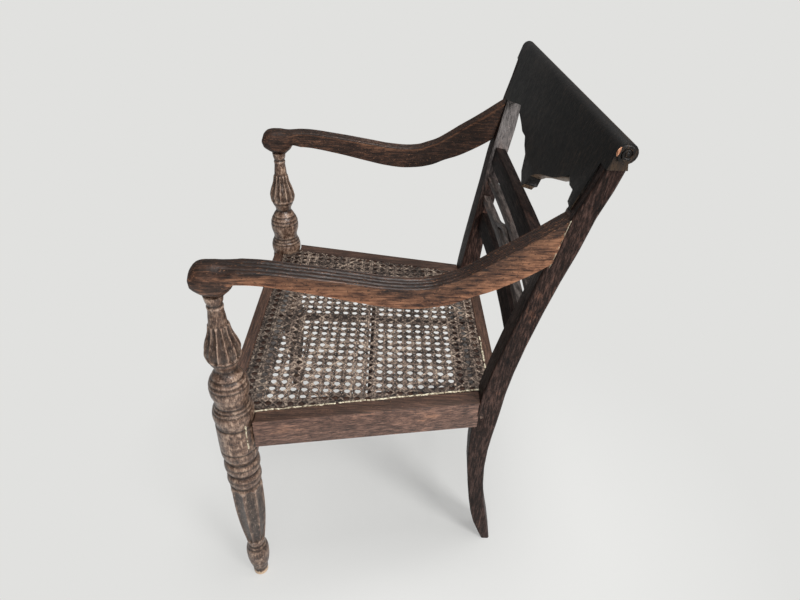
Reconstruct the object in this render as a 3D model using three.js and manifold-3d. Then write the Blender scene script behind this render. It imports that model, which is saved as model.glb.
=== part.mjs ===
import * as THREE from "three";
import { mergeVertices } from "three/addons/utils/BufferGeometryUtils.js";
import Module from "manifold-3d";

// An open armchair in dark turned hardwood with a caned seat. Millimetres, +Z up, front towards -Y,
// the sitter's left towards +X. Rows of a table that ends in Shares are shares of the sizes named
// beside it, so the outlines follow those sizes.

// Seat frame
const seatHeight = 440;
const seatDrop = 7;
const railHeight = 55.6;
const railThickness = 44;
const frontLegSpacing = 535.8;
const frontRailForward = 23.4;
const sideRailOutboard = 16;
const rearRailSetIn = 1;
const tenonDepth = 22;
const rearTenonDepth = 16;
const tenonThickness = 12;
const tenonShoulder = 9;

// Rear legs, which run up as the stiles of the back
const rearLegHeight = 872;
const rearLegSetback = 392;
const rearLegRakeLength = 90;
const rearLegDepth = 42;
const rearLegWidth = 44.6;
const rearLegTopWidth = 36;
const rearFootSpread = 382.8;
const rearTopSpread = 572.2;
const rearLegTurn = 4.3;
const rearLegEdge = 2.5;

// Front legs and arm posts
const drumDiameter = 62;
const drumOverhang = 4.5;
const drumHeight = 48;
const armUnderside = 670;
const legFluteDepth = 2.6;
const vaseFluteDepth = 2.4;
const postTenonDiameter = 15;
const postTenonHeight = 24;

// Arms
const armOutboard = 22.1;
const scrollWidth = 44;
const armTenonSetIn = 9;
const reedDepth = 1.8;
const scrollRound = 30;

// Crest rail
const crestOverhang = 3.9;
const crestRise = 32.5;
const crestThickness = 19;
const crestTilt = 16.8;
const crestRollDiameter = 25;

// Back bars and the pierced eye that fills the gap between the two thin ones
const barTopHeight = 35;
const barTopDepth = 22;
const barUpperHeight = 10;
const barUpperDepth = 17;
const barLowerHeight = 13;
const barLowerDepth = 14;
const barBottomHeight = 35;
const barBottomDepth = 14;
const barSetback = 5;
const barBottomSetback = 10;
const barTopBow = 2;
const barBow = 8;
const eyeLength = 196;
const eyeDepth = 12;

// Caned seat, its edging and the battens under it
const caneThickness = 2;
const caneMargin = 25;
const caneFrontMargin = 20;
const caneRows = 16;
const caneColumns = 18;
const caneGapShare = 0.52;
const battenWidth = 9;
const battenThickness = 9;
const battenHousing = 6;
const lengthBattenOffset = 12;
const crossBattenOffset = 16;

// Wooden pegs
const pegDiameter = 6;
const pegLength = 30;
const pegDrop = 46;
const pegInset = 12;

// Clearance between pieces, and the overrun of a cut past a face
const clearance = 0.3;
const overrun = 6;

const legSegments = 32;
const vaseSegments = 36;
const roundSegments = 24;
const barStations = 8;
const eyeStations = 20;

const degrees = Math.PI / 180;
const legX = frontLegSpacing / 2;
const drumRadius = drumDiameter / 2;
const railBottom = seatHeight - railHeight;
const drumBottom = railBottom - drumOverhang;
const drumTop = drumBottom + drumHeight;
const postLength = armUnderside - drumTop;
const seatSlope = seatDrop / rearLegSetback;

const wasm = await Module();
wasm.setup();

const wood = (name, color, roughness) => {
  const material = new THREE.MeshStandardMaterial({ color, roughness, metalness: 0 });
  material.name = name;
  return material;
};
const darkWood = wood("stained_hardwood", 0x3a2720, 0.6);
const armWood = wood("worn_arm_hardwood", 0x4b2f22, 0.55);
const crestWood = wood("blackened_crest", 0x2b2320, 0.6);
const railWood = wood("seat_rail_hardwood", 0x4a3328, 0.6);
const cane = wood("aged_cane", 0x8f8068, 0.75);
const pegWood = wood("peg_wood", 0x57402f, 0.65);
const putty = wood("old_edging", 0xa09684, 0.8);

// A smooth curve through rows of [place, value]
function curveThrough(rows) {
  const places = rows.map((row) => row[0]);
  const values = rows.map((row) => row[1]);
  const curve = new THREE.CubicInterpolant(places, values, 1);
  return (place) => curve.evaluate(place)[0];
}

// A closed body over a stack of rings that all hold the same number of points
function skin(rings) {
  const count = rings[0].length;
  const positions = [];
  const index = [];
  for (const ring of rings) {
    for (const point of ring) {
      positions.push(point.x, point.y, point.z);
    }
  }
  for (let level = 0; level + 1 < rings.length; level += 1) {
    for (let step = 0; step < count; step += 1) {
      const low = level * count + step;
      const lowNext = level * count + (step + 1) % count;
      index.push(low, lowNext, lowNext + count, low, lowNext + count, low + count);
    }
  }
  for (const level of [0, rings.length - 1]) {
    const centre = new THREE.Vector3();
    rings[level].forEach((point) => centre.addScaledVector(point, 1 / count));
    const hub = positions.length / 3;
    positions.push(centre.x, centre.y, centre.z);
    for (let step = 0; step < count; step += 1) {
      const here = level * count + step;
      const next = level * count + (step + 1) % count;
      index.push(hub, level === 0 ? next : here, level === 0 ? here : next);
    }
  }
  const geometry = new THREE.BufferGeometry();
  geometry.setAttribute("position", new THREE.Float32BufferAttribute(positions, 3));
  geometry.setIndex(index);
  return outward(geometry);
}

function signedVolume(geometry) {
  const at = geometry.getAttribute("position");
  const index = geometry.getIndex();
  const corners = [new THREE.Vector3(), new THREE.Vector3(), new THREE.Vector3()];
  let volume = 0;
  for (let face = 0; face < index.count; face += 3) {
    corners.forEach((corner, step) => corner.fromBufferAttribute(at, index.getX(face + step)));
    volume += corners[0].dot(corners[1].clone().cross(corners[2])) / 6;
  }
  return volume;
}

// Turns the faces round where they point inwards
function outward(geometry) {
  if (signedVolume(geometry) < 0) {
    const index = geometry.getIndex();
    for (let face = 0; face < index.count; face += 3) {
      const keep = index.getX(face);
      index.setX(face, index.getX(face + 1));
      index.setX(face + 1, keep);
    }
  }
  return geometry;
}

function toSolid(geometry) {
  const bare = geometry.clone();
  bare.deleteAttribute("normal");
  bare.deleteAttribute("uv");
  const merged = outward(mergeVertices(bare));
  return new wasm.Manifold(new wasm.Mesh({
    numProp: 3,
    vertProperties: Float32Array.from(merged.getAttribute("position").array),
    triVerts: Uint32Array.from(merged.getIndex().array),
  }));
}

function fromSolid(solid) {
  const mesh = solid.getMesh();
  const geometry = new THREE.BufferGeometry();
  geometry.setAttribute("position", new THREE.Float32BufferAttribute(mesh.vertProperties, 3));
  geometry.setIndex(Array.from(mesh.triVerts));
  geometry.computeVertexNormals();
  return geometry;
}

// Moves every point of a geometry by a rule
function deform(geometry, rule) {
  const at = geometry.getAttribute("position");
  const point = new THREE.Vector3();
  for (let step = 0; step < at.count; step += 1) {
    point.fromBufferAttribute(at, step);
    rule(point);
    at.setXYZ(step, point.x, point.y, point.z);
  }
  return geometry;
}

// A box between two corners, let down to the back with the seat where tilted is true
function block(low, high, tilted = false) {
  const geometry = new THREE.BoxGeometry(high[0] - low[0], high[1] - low[1], high[2] - low[2]);
  geometry.translate((low[0] + high[0]) / 2, (low[1] + high[1]) / 2, (low[2] + high[2]) / 2);
  return toSolid(tilted ? deform(geometry, slopeBack) : geometry);
}

function slopeBack(point) {
  point.z -= point.y * seatSlope;
}

// The same solid on the other side of the chair
function mirrored(solid) {
  const geometry = fromSolid(solid);
  geometry.scale(-1, 1, 1);
  return toSolid(outward(geometry));
}

const group = new THREE.Group();

function addPiece(name, solid, material) {
  const mesh = new THREE.Mesh(fromSolid(solid), material);
  mesh.name = name;
  group.add(mesh);
}

function addPair(name, solid, material) {
  addPiece(name + "_left", solid, material);
  addPiece(name + "_right", mirrored(solid), material);
}

// Rear leg: front line and depth from foot to crest joint, as shares of the rake and of the depth
const rearFrontShares = [
  [0, 0.689], [0.069, 0.422], [0.135, 0.267], [0.198, 0.167], [0.259, 0.078], [0.317, 0.022],
  [0.372, 0], [0.424, -0.012], [0.505, 0.056], [0.548, 0.111], [0.619, 0.222], [0.734, 0.422],
  [0.81, 0.544], [0.876, 0.689], [0.924, 0.778], [0.968, 0.911], [1, 0.994],
];
const rearDepthShares = [
  [0, 0.405], [0.069, 0.69], [0.14, 0.714], [0.2, 0.714], [0.26, 0.76], [0.32, 0.83],
  [0.375, 0.91], [0.425, 1], [0.475, 0.98], [0.505, 0.93], [0.565, 0.857], [0.645, 0.79],
  [0.72, 0.755], [0.785, 0.785], [0.845, 0.785], [0.9, 0.74], [0.955, 0.69], [1, 0.61],
];
const rearStationShares = [
  0, 0.025, 0.069, 0.11, 0.16, 0.22, 0.28, 0.34, 0.39, 0.43, 0.47, 0.52, 0.58, 0.65, 0.73, 0.8,
  0.86, 0.92, 0.965, 1,
];
const leanShare = 0.318;
const taperShares = [0.25, 0.65];
const rearFront = curveThrough(rearFrontShares);
const rearDepth = curveThrough(rearDepthShares);

function stileOuter(height) {
  const share = height / rearLegHeight;
  const bend = leanShare * share + (1 - leanShare) * share * share;
  return (rearFootSpread + (rearTopSpread - rearFootSpread) * bend) / 2;
}

function stileFront(height) {
  return rearLegSetback + rearLegRakeLength * rearFront(height / rearLegHeight);
}

function stileWidth(height) {
  const above = (height - seatHeight) / (rearLegHeight - seatHeight);
  const share = THREE.MathUtils.smoothstep(above, taperShares[0], taperShares[1]);
  return THREE.MathUtils.lerp(rearLegWidth, rearLegTopWidth, share);
}

function stileInner(height) {
  return stileOuter(height) - stileWidth(height);
}

function stileInnerFront(height) {
  return stileFront(height) + stileWidth(height) * Math.tan(rearLegTurn * degrees);
}

// The leg grown by a clearance and, where spread is given, widened past its sides and back
function rearLegBody(grow, spread = 0) {
  const rings = rearStationShares.map((share) => {
    const height = share * rearLegHeight;
    const edge = stileOuter(height);
    const outer = edge + grow + spread;
    const inner = stileInner(height) - grow - spread;
    const front = stileFront(height) - grow;
    const back = front + rearLegDepth * rearDepth(share) + grow * 2 + spread;
    const corners = [
      [outer - rearLegEdge, front], [outer, front + rearLegEdge], [outer, back - rearLegEdge],
      [outer - rearLegEdge, back], [inner + rearLegEdge, back], [inner, back - rearLegEdge],
      [inner, front + rearLegEdge], [inner + rearLegEdge, front],
    ];
    return corners.map(([x, y]) => {
      const turned = y + (edge - x) * Math.tan(rearLegTurn * degrees);
      const level = share === 1 ? height + grow : height - (share === 0 ? grow : 0);
      return new THREE.Vector3(x, turned, level);
    });
  });
  return toSolid(skin(rings));
}

// Front leg and arm post: rows of [height, diameter], shares of the stretch and of the drum diameter
const lowerLegShares = [
  [0, 0.339], [0.013, 0.445], [0.053, 0.458], [0.11, 0.6], [0.145, 0.655], [0.192, 0.677],
  [0.225, 0.639], [0.258, 0.5], [0.276, 0.516], [0.324, 0.597], [0.421, 0.742], [0.518, 0.848],
  [0.608, 0.903], [0.679, 0.913], [0.724, 0.881], [0.749, 0.839], [0.774, 0.913], [0.805, 0.919],
  [0.827, 0.865], [0.85, 0.942], [0.884, 0.955], [0.913, 0.877], [0.934, 0.961], [1, 1],
];
const postShares = [
  [0, 1], [0.02, 0.958], [0.049, 1.013], [0.089, 1.045], [0.133, 0.99], [0.174, 0.861],
  [0.203, 0.826], [0.236, 0.877], [0.277, 0.961], [0.318, 0.977], [0.356, 0.942], [0.389, 0.839],
  [0.426, 0.677], [0.459, 0.539], [0.484, 0.555], [0.513, 0.665], [0.554, 0.806], [0.579, 0.858],
  [0.599, 0.881], [0.62, 0.858], [0.67, 0.755], [0.703, 0.655], [0.744, 0.558], [0.793, 0.481],
  [0.851, 0.41], [0.901, 0.365], [0.922, 0.387], [0.942, 0.361], [0.963, 0.406], [1, 0.452],
];
const legFluteCount = 8;
const legFluteShares = [0.3, 0.745];
const vaseFluteCount = 12;
const vaseFluteShares = [0.598, 0.83];

// A turned stretch with hollow flutes between two of its levels
function turned(rows, bottom, length, segments, fluteCount, fluteRange, fluteDepth) {
  const rings = rows.map(([levelShare, widthShare]) => {
    const within = (levelShare - fluteRange[0]) / (fluteRange[1] - fluteRange[0]);
    const fade = within > 0 && within < 1 ? Math.min(1, 4 * within, 4 * (1 - within)) : 0;
    const ring = [];
    for (let step = 0; step < segments; step += 1) {
      const angle = (step / segments) * Math.PI * 2;
      const hollow = Math.abs(Math.sin((angle * fluteCount) / 2));
      const radius = drumRadius * widthShare - fluteDepth * fade * hollow;
      const x = legX + radius * Math.cos(angle);
      const y = radius * Math.sin(angle);
      ring.push(new THREE.Vector3(x, y, bottom + length * levelShare));
    }
    return ring;
  });
  return toSolid(skin(rings));
}

function upright(x, y, bottom, top, radius, segments = roundSegments) {
  const geometry = new THREE.CylinderGeometry(radius, radius, top - bottom, segments);
  geometry.rotateX(Math.PI / 2);
  geometry.translate(x, y, (bottom + top) / 2);
  return toSolid(geometry);
}

function frontLegBody() {
  const leg = turned(lowerLegShares, 0, drumBottom, legSegments, legFluteCount, legFluteShares,
    legFluteDepth);
  const drum = upright(legX, 0, drumBottom, drumTop, drumRadius, legSegments);
  const post = turned(postShares, drumTop, postLength, vaseSegments, vaseFluteCount,
    vaseFluteShares, vaseFluteDepth);
  const tenon = upright(legX, 0, armUnderside, armUnderside + postTenonHeight,
    postTenonDiameter / 2);
  return leg.add(drum).add(post).add(tenon);
}

// Seat rails. The side rails run back and inwards from the drums to the rear legs.
const sideFrontX = legX + sideRailOutboard;
const sideBackX = stileOuter(seatHeight - railHeight / 2);
const sideInset = (sideFrontX - sideBackX) / rearLegSetback;

function sideOuter(y) {
  return sideFrontX - sideInset * y;
}

function sideBlock(y0, y1, inset, thickness, low, high) {
  const rings = [y0, y1].map((y) => {
    const outer = sideOuter(y) - inset;
    const corners = [[outer, low], [outer, high], [outer - thickness, high], [outer - thickness, low]];
    return corners.map(([x, z]) => new THREE.Vector3(x, y, z));
  });
  return toSolid(deform(skin(rings), slopeBack));
}

const frontRailBack = railThickness - frontRailForward;
const rearRailBack = stileInnerFront(railBottom) + rearLegDepth - rearRailSetIn;
const rearRailFront = rearRailBack - railThickness;
const tenonBottom = railBottom + tenonShoulder;
const tenonTop = seatHeight - tenonShoulder;
const tenonInset = sideRailOutboard - tenonThickness / 2;

function frontRailTenon(grow) {
  const reach = legX - drumRadius + tenonDepth + grow;
  const half = tenonThickness / 2 + grow;
  return block([-reach, -half, tenonBottom - grow], [reach, half, tenonTop + grow]);
}

function rearRailTenon(grow) {
  const reach = stileInner(railBottom) + rearTenonDepth + grow;
  const middle = (rearRailFront + rearRailBack) / 2;
  const half = tenonThickness / 2 + grow;
  const low = [-reach, middle - half, tenonBottom - grow];
  return block(low, [reach, middle + half, tenonTop + grow], true);
}

function sideRailTenon(grow) {
  const start = drumRadius - tenonDepth - grow;
  const end = stileFront(seatHeight) + tenonDepth + grow;
  return sideBlock(start, end, tenonInset - grow, tenonThickness + grow * 2, tenonBottom - grow,
    tenonTop + grow);
}

// The cane lies in a rebate along the inner edge of each rail
const caneFront = frontRailBack - railThickness + caneFrontMargin;
const caneBack = rearRailBack - caneFrontMargin;

function caneOutline(grow) {
  const front = caneFront - grow;
  const back = caneBack + grow;
  const frontHalf = sideOuter(front) - caneMargin + grow;
  const backHalf = sideOuter(back) - caneMargin + grow;
  return [[-frontHalf, front], [frontHalf, front], [backHalf, back], [-backHalf, back]];
}

function caneSlab(grow, low, high) {
  const rings = [low, high].map((z) => caneOutline(grow).map(([x, y]) => new THREE.Vector3(x, y, z)));
  return toSolid(deform(skin(rings), slopeBack));
}

const rebate = caneSlab(clearance, seatHeight - caneThickness - clearance, seatHeight + overrun);
const drumCut = upright(legX, 0, railBottom - overrun, armUnderside, drumRadius * 1.06 + clearance,
  legSegments);
const rearLegCut = rearLegBody(clearance);
const rearLegCutRight = mirrored(rearLegCut);
const drumCutRight = mirrored(drumCut);

const battenTop = seatHeight - caneThickness - clearance * 2;
const battenMiddle = battenTop - battenThickness;

function lengthBatten(grow) {
  const x = -lengthBattenOffset;
  const half = battenWidth / 2 + grow;
  const low = [x - half, frontRailBack - battenHousing - grow, battenMiddle - grow];
  return block(low, [x + half, rearRailFront + battenHousing + grow, battenTop + grow], true);
}

function crossBatten(grow) {
  const y = rearLegSetback / 2 + crossBattenOffset;
  const reach = sideOuter(y) - railThickness + battenHousing + grow;
  const half = battenWidth / 2 + grow;
  const top = battenMiddle - clearance;
  const low = [-reach, y - half, top - battenThickness - grow];
  return block(low, [reach, y + half, top + grow], true);
}

const frontRailEnd = legX - drumRadius / 3;
const frontRail = block([-frontRailEnd, -frontRailForward, railBottom],
  [frontRailEnd, frontRailBack, seatHeight], true)
  .subtract(drumCut).subtract(drumCutRight).subtract(rebate).add(frontRailTenon(0))
  .subtract(lengthBatten(clearance));
const rearRailEnd = stileInner(seatHeight) + rearRailSetIn;
const rearRail = block([-rearRailEnd, rearRailFront, railBottom],
  [rearRailEnd, rearRailBack, seatHeight], true)
  .subtract(rearLegCut).subtract(rearLegCutRight);
addPiece("seat_rail_front", frontRail, railWood);

// Pegs through the rear legs into the side rail tenons
function pegSolid(grow) {
  const height = seatHeight - pegDrop - pegInset * seatSlope;
  const y = stileFront(height) + pegInset;
  const outer = stileOuter(height) + grow * overrun;
  const geometry = new THREE.CylinderGeometry(pegDiameter / 2 + grow, pegDiameter / 2 + grow,
    pegLength + grow * overrun, roundSegments / 2);
  geometry.rotateZ(Math.PI / 2);
  geometry.translate(outer - (pegLength + grow * overrun) / 2, y, height);
  return toSolid(geometry);
}

const sideStart = drumRadius / 3;
const sideEnd = stileFront(seatHeight) + clearance;
const frontRailGrown = block([-legX, -frontRailForward - clearance, railBottom - overrun],
  [legX, frontRailBack + clearance, seatHeight + overrun], true);
const sideRail = sideBlock(sideStart, sideEnd, 0, railThickness, railBottom, seatHeight)
  .subtract(drumCut).subtract(frontRailGrown).subtract(rearLegCut).subtract(rebate)
  .add(sideRailTenon(0))
  .subtract(crossBatten(clearance)).subtract(pegSolid(clearance / 2));
const sideRailGrown = sideBlock(sideStart, sideEnd, -clearance, railThickness + clearance * 2,
  railBottom - clearance, seatHeight + clearance);
const rearRailWhole = rearRail.subtract(sideRailGrown).subtract(mirrored(sideRailGrown))
  .subtract(rebate).add(rearRailTenon(0)).subtract(lengthBatten(clearance));
addPiece("seat_rail_rear", rearRailWhole, railWood);
addPair("seat_rail", sideRail, railWood);
addPair("seat_peg", pegSolid(0), pegWood);
addPiece("batten_length", lengthBatten(0), railWood);
addPiece("batten_cross", crossBatten(0), railWood);

// Back bars, tilted with the rear legs and bowed back in the middle
const tenonShare = 0.6;
const backHeight = rearLegHeight - seatHeight;
const barTopLevelShare = 0.596;
const barUpperLevelShare = 0.485;
const barLowerLevelShare = 0.395;
const barBottomLevelShare = 0.286;

function barAt(share, height, depth, setback, bow) {
  const level = seatHeight + backHeight * share;
  const rise = stileInnerFront(level + height) - stileInnerFront(level - height);
  const tilt = Math.atan(rise / (height * 2));
  return { level, height, depth, bow, tilt, front: stileInnerFront(level) + setback };
}

const barTop = barAt(barTopLevelShare, barTopHeight, barTopDepth, barSetback, barTopBow);
const barUpper = barAt(barUpperLevelShare, barUpperHeight, barUpperDepth, barSetback, barBow);
const barLower = barAt(barLowerLevelShare, barLowerHeight, barLowerDepth, barSetback, barBow);
const barBottom = barAt(barBottomLevelShare, barBottomHeight, barBottomDepth, barBottomSetback,
  barBow);

function tiltedRing(bar, x, front, low, high, depth) {
  const corners = [[0, low], [0, high], [depth, high], [depth, low]];
  return corners.map(([back, up]) => {
    const y = front + back * Math.cos(bar.tilt) + up * Math.sin(bar.tilt);
    const z = bar.level - back * Math.sin(bar.tilt) + up * Math.cos(bar.tilt);
    return new THREE.Vector3(x, y, z);
  });
}

function barBody(bar) {
  const half = (stileOuter(bar.level) + stileInner(bar.level)) / 2;
  const rings = [];
  for (let step = 0; step <= barStations; step += 1) {
    const share = (step / barStations) * 2 - 1;
    const front = bar.front + bar.bow * (1 - share * share);
    rings.push(tiltedRing(bar, share * half, front, -bar.height / 2, bar.height / 2, bar.depth));
  }
  return toSolid(skin(rings));
}

function barTenon(bar, grow) {
  const reach = stileInner(bar.level) + tenonDepth + grow;
  const front = bar.front + (bar.depth * (1 - tenonShare)) / 2 - grow;
  const half = (bar.height * tenonShare) / 2 + grow;
  const rings = [-reach, reach].map((x) => {
    return tiltedRing(bar, x, front, -half, half, bar.depth * tenonShare + grow * 2);
  });
  return toSolid(skin(rings));
}

function tenonEnds(bar) {
  const inner = stileInner(bar.level) - tenonDepth;
  const drop = bar.height * 2;
  const middle = block([-inner, rearLegSetback - drop, bar.level - drop],
    [inner, rearLegSetback + rearLegRakeLength * 2, bar.level + drop]);
  return barTenon(bar, 0).subtract(middle);
}

const bars = [
  ["back_bar_top", barTop], ["back_bar_upper", barUpper], ["back_bar_lower", barLower],
  ["back_bar_bottom", barBottom],
];
for (const [name, bar] of bars) {
  const body = barBody(bar).subtract(rearLegCut).subtract(rearLegCutRight);
  addPiece(name, body.add(tenonEnds(bar)), darkWood);
}

// The pierced eye: a low arch that springs from the lower thin bar and reaches up to the upper one
const eyeOpeningShare = 0.55;
const eyeWallShare = 0.267;
const eyeSillShare = 0.144;

function eyePiece() {
  const low = barLower.level + (barLower.height / 2) * Math.cos(barLower.tilt) + clearance;
  const high = barUpper.level - (barUpper.height / 2) * Math.cos(barUpper.tilt) - clearance
    - barUpper.depth * Math.sin(barUpper.tilt);
  const half = eyeLength / 2;
  const rise = (x) => (high - low) * Math.cos((Math.PI * x) / eyeLength) ** 2;
  const outline = new THREE.Shape();
  const opening = new THREE.Path();
  const inside = half * eyeOpeningShare;
  const sill = (high - low) * eyeSillShare;
  const wall = (high - low) * eyeWallShare;
  outline.moveTo(-half, 0);
  outline.lineTo(half, 0);
  opening.moveTo(-inside, sill);
  for (let step = 1; step < eyeStations; step += 1) {
    const along = (step / eyeStations) * 2 - 1;
    outline.lineTo(-along * half, rise(along * half));
    opening.lineTo(along * inside, rise(along * inside) - wall);
  }
  opening.lineTo(inside, sill);
  outline.holes.push(opening);
  const geometry = new THREE.ExtrudeGeometry(outline, { depth: eyeDepth, bevelEnabled: false });
  geometry.rotateX(Math.PI / 2);
  const front = barLower.front + barBow + (barLower.height / 2) * Math.sin(barLower.tilt);
  geometry.translate(0, front + eyeDepth, low);
  return toSolid(deform(geometry, (point) => {
    point.y -= barBow * (point.x / stileInner(barLower.level)) ** 2;
  }));
}
addPiece("back_oval", eyePiece(), darkWood);

// Crest rail: a leaning tablet whose lower edge has broken away to a point, under a rolled top.
// Rows of [place along half the length between the rear legs, drop below the shoulder]
const crestEdgeShares = [
  [-1, 0], [-0.563, -0.36], [-0.506, -0.18], [-0.36, -0.05], [-0.253, 0.07], [-0.147, 0.07],
  [-0.065, 0.24], [0.037, 0.36], [0.122, 0.75], [0.184, 0.89], [0.241, 1], [0.257, 0.89],
  [0.306, 0.78], [0.318, 0.55], [0.367, 0.38], [0.473, 0.22], [0.678, -0.07], [0.759, -0.24],
  [0.853, -0.47], [0.914, -0.33], [0.98, -0.33], [1, -0.07],
];
const tabletDropShare = 0.155;
const tabletTipShare = 0.127;
const crestJoint = rearLegHeight + clearance;
const crestFrontAtJoint = stileFront(rearLegHeight);
const crestTop = crestJoint + crestRise;
const crestLength = rearTopSpread + crestOverhang * 2;
const rollRadius = crestRollDiameter / 2;
const crestTan = Math.tan(crestTilt * degrees);

function crestFront(height) {
  return crestFrontAtJoint + (height - crestJoint) * crestTan;
}

function crestTablet() {
  const shoulder = crestJoint - backHeight * tabletDropShare;
  const half = (stileOuter(shoulder) + stileInner(shoulder)) / 2;
  const reach = (stileOuter(rearLegHeight) + stileInner(rearLegHeight)) / 2;
  const inner = stileInner(shoulder);
  const outline = new THREE.Shape();
  outline.moveTo(-reach, crestJoint + rollRadius);
  outline.lineTo(-half, shoulder);
  for (const [place, drop] of crestEdgeShares) {
    outline.lineTo(place * inner, shoulder - drop * backHeight * tabletTipShare);
  }
  outline.lineTo(half, shoulder);
  outline.lineTo(reach, crestJoint + rollRadius);
  const geometry = new THREE.ExtrudeGeometry(outline, { depth: crestThickness, bevelEnabled: false });
  const tilt = crestTilt * degrees;
  return toSolid(deform(geometry, (point) => {
    const back = point.z;
    const height = point.y;
    point.y = crestFront(height) + back * Math.cos(tilt);
    point.z = height - back * Math.sin(tilt);
  }));
}

function crestRoll() {
  const centreZ = crestTop - rollRadius;
  const centreY = crestFront(centreZ) + rollRadius / Math.cos(crestTilt * degrees);
  const outline = [];
  const turns = roundSegments / 2;
  for (let step = 0; step <= turns; step += 1) {
    const angle = (180 - crestTilt - step * (235 / turns)) * degrees;
    outline.push([centreY + rollRadius * Math.cos(angle), centreZ + rollRadius * Math.sin(angle)]);
  }
  outline.push([crestFront(crestJoint) + crestThickness * 1.3, crestJoint]);
  outline.push([crestFront(crestJoint), crestJoint]);
  const rings = [-crestLength / 2, crestLength / 2].map((x) => {
    return outline.map(([y, z]) => new THREE.Vector3(x, y, z));
  });
  return toSolid(skin(rings));
}

const crest = crestTablet().subtract(rearLegCut).subtract(rearLegCutRight).add(crestRoll());
addPiece("crest_rail", crest, crestWood);

// Arms. Rows of [top y, top z, underside y, underside z, width, belly, crown, reeding] from the
// scroll back: y as shares of the reach, z of the rise, width, belly, crown and reeding of their sizes.
const armShares = [
  [-0.068, 0.205, -0.068, 0.197, 0.545, 0.133, 0.133, 0],
  [-0.064, 0.208, -0.064, 0.194, 0.727, 0.333, 0.333, 0],
  [-0.055, 0.216, -0.055, 0.197, 0.864, 0.533, 0.533, 0],
  [-0.04, 0.223, -0.04, 0.201, 0.955, 0.733, 0.667, 0],
  [-0.02, 0.231, -0.02, 0.208, 1, 0.9, 0.667, 0], [0.007, 0.238, 0.007, 0.216, 1, 1, 0.633, 0],
  [0.029, 0.253, 0.029, 0.223, 1, 1.033, 0.533, 0.2],
  [0.044, 0.275, 0.044, 0.231, 1, 0.867, 0.4, 0.4],
  [0.06, 0.305, 0.06, 0.231, 0.977, 0.6, 0.233, 0.6],
  [0.073, 0.328, 0.073, 0.223, 0.955, 0.2, 0.117, 0.8],
  [0.091, 0.342, 0.089, 0.216, 0.909, 0.067, 0.05, 1],
  [0.127, 0.346, 0.127, 0.212, 0.864, 0.033, 0.017, 1],
  [0.271, 0.301, 0.268, 0.139, 0.795, 0.033, 0.017, 1],
  [0.444, 0.223, 0.442, 0.016, 0.773, 0.033, 0.017, 1],
  [0.515, 0.19, 0.506, -0.025, 0.75, 0.033, 0.017, 1],
  [0.595, 0.176, 0.588, -0.052, 0.716, 0.033, 0.017, 1],
  [0.653, 0.194, 0.653, -0.037, 0.705, 0.033, 0.017, 1],
  [0.697, 0.242, 0.713, 0.006, 0.682, 0.033, 0.017, 1],
  [0.739, 0.298, 0.768, 0.089, 0.682, 0.033, 0.017, 1],
  [0.792, 0.402, 0.828, 0.164, 0.682, 0.033, 0.017, 1],
  [0.844, 0.536, 0.883, 0.257, 0.682, 0.033, 0.017, 1],
  [0.897, 0.629, 0.939, 0.365, 0.682, 0.033, 0.017, 1],
  [0.95, 0.759, 0.992, 0.488, 0.682, 0.033, 0.017, 1],
  [0.999, 0.893, 1.046, 0.64, 0.682, 0.033, 0.017, 1],
  [1.034, 0.975, 1.079, 0.789, 0.682, 0.033, 0.017, 1],
];
const roundShares = [0.06, 0.19, 0.34, 0.5, 0.66, 0.81, 0.94];
const roundPowerShare = 0.42;
const reedCount = 4;
const grooveShare = 0.16;
const armRiseShare = 0.665;
const armMeetShare = 0.6;
const armRise = (rearLegHeight - armUnderside) * armRiseShare;
const armReach = stileFront(armUnderside + armRise * armMeetShare);
const armEndX = stileOuter(armUnderside + armRise * armMeetShare);

// How far the round of the scroll stands at a share of the width
function roundAt(share) {
  return scrollRound * (4 * share * (1 - share)) ** roundPowerShare;
}

// Across the top from the outer to the inner edge: each groove between two reeds as [share, depth]
function reedPoints() {
  const points = [];
  for (let groove = reedCount - 1; groove > 0; groove -= 1) {
    const half = grooveShare / reedCount;
    const middle = groove / reedCount;
    points.push([middle + half, 0], [middle, reedDepth], [middle - half, 0]);
  }
  return [[roundShares.at(-1), 0], ...points, [roundShares.at(0), 0]];
}

function armOuter(y) {
  const front = legX + armOutboard;
  return front + ((armEndX - front) * Math.max(0, y)) / armReach;
}

function armBody() {
  const rings = armShares.map(([topY, topZ, lowY, lowZ, wide, belly, crown, reed]) => {
    const width = scrollWidth * wide;
    const nose = topY < 0 ? (scrollWidth - width) / 2 : 0;
    const outerTop = armOuter(topY * armReach) - nose;
    const outerLow = armOuter(lowY * armReach) - nose;
    const top = new THREE.Vector3(outerTop, topY * armReach, armUnderside + topZ * armRise);
    const low = new THREE.Vector3(outerLow, lowY * armReach, armUnderside + lowZ * armRise);
    const up = top.clone().sub(low).setX(0).normalize();
    const ring = [low.clone().setX(outerLow - width)];
    for (const share of roundShares) {
      const sunk = low.clone().addScaledVector(up, -belly * roundAt(share));
      ring.push(sunk.setX(outerLow - width + share * width));
    }
    ring.push(low.clone(), top.clone());
    for (const [share, depth] of reedPoints()) {
      const raised = top.clone().addScaledVector(up, crown * roundAt(share) - depth * reed);
      ring.push(raised.setX(outerTop - width + share * width));
    }
    ring.push(top.clone().setX(outerTop - width));
    return ring;
  });
  return toSolid(skin(rings));
}

function armTenon(grow) {
  const low = armUnderside + armRise * armTenonShares[0] - grow;
  const high = armUnderside + armRise * armTenonShares[1] + grow;
  const outer = armOuter(armReach) - armTenonSetIn + grow;
  const reach = stileFront((low + high) / 2) + tenonDepth + grow;
  const start = stileFront(low) - tenonThickness / 2;
  return block([outer - tenonThickness - grow * 2, start, low], [outer, reach, high]);
}

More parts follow.
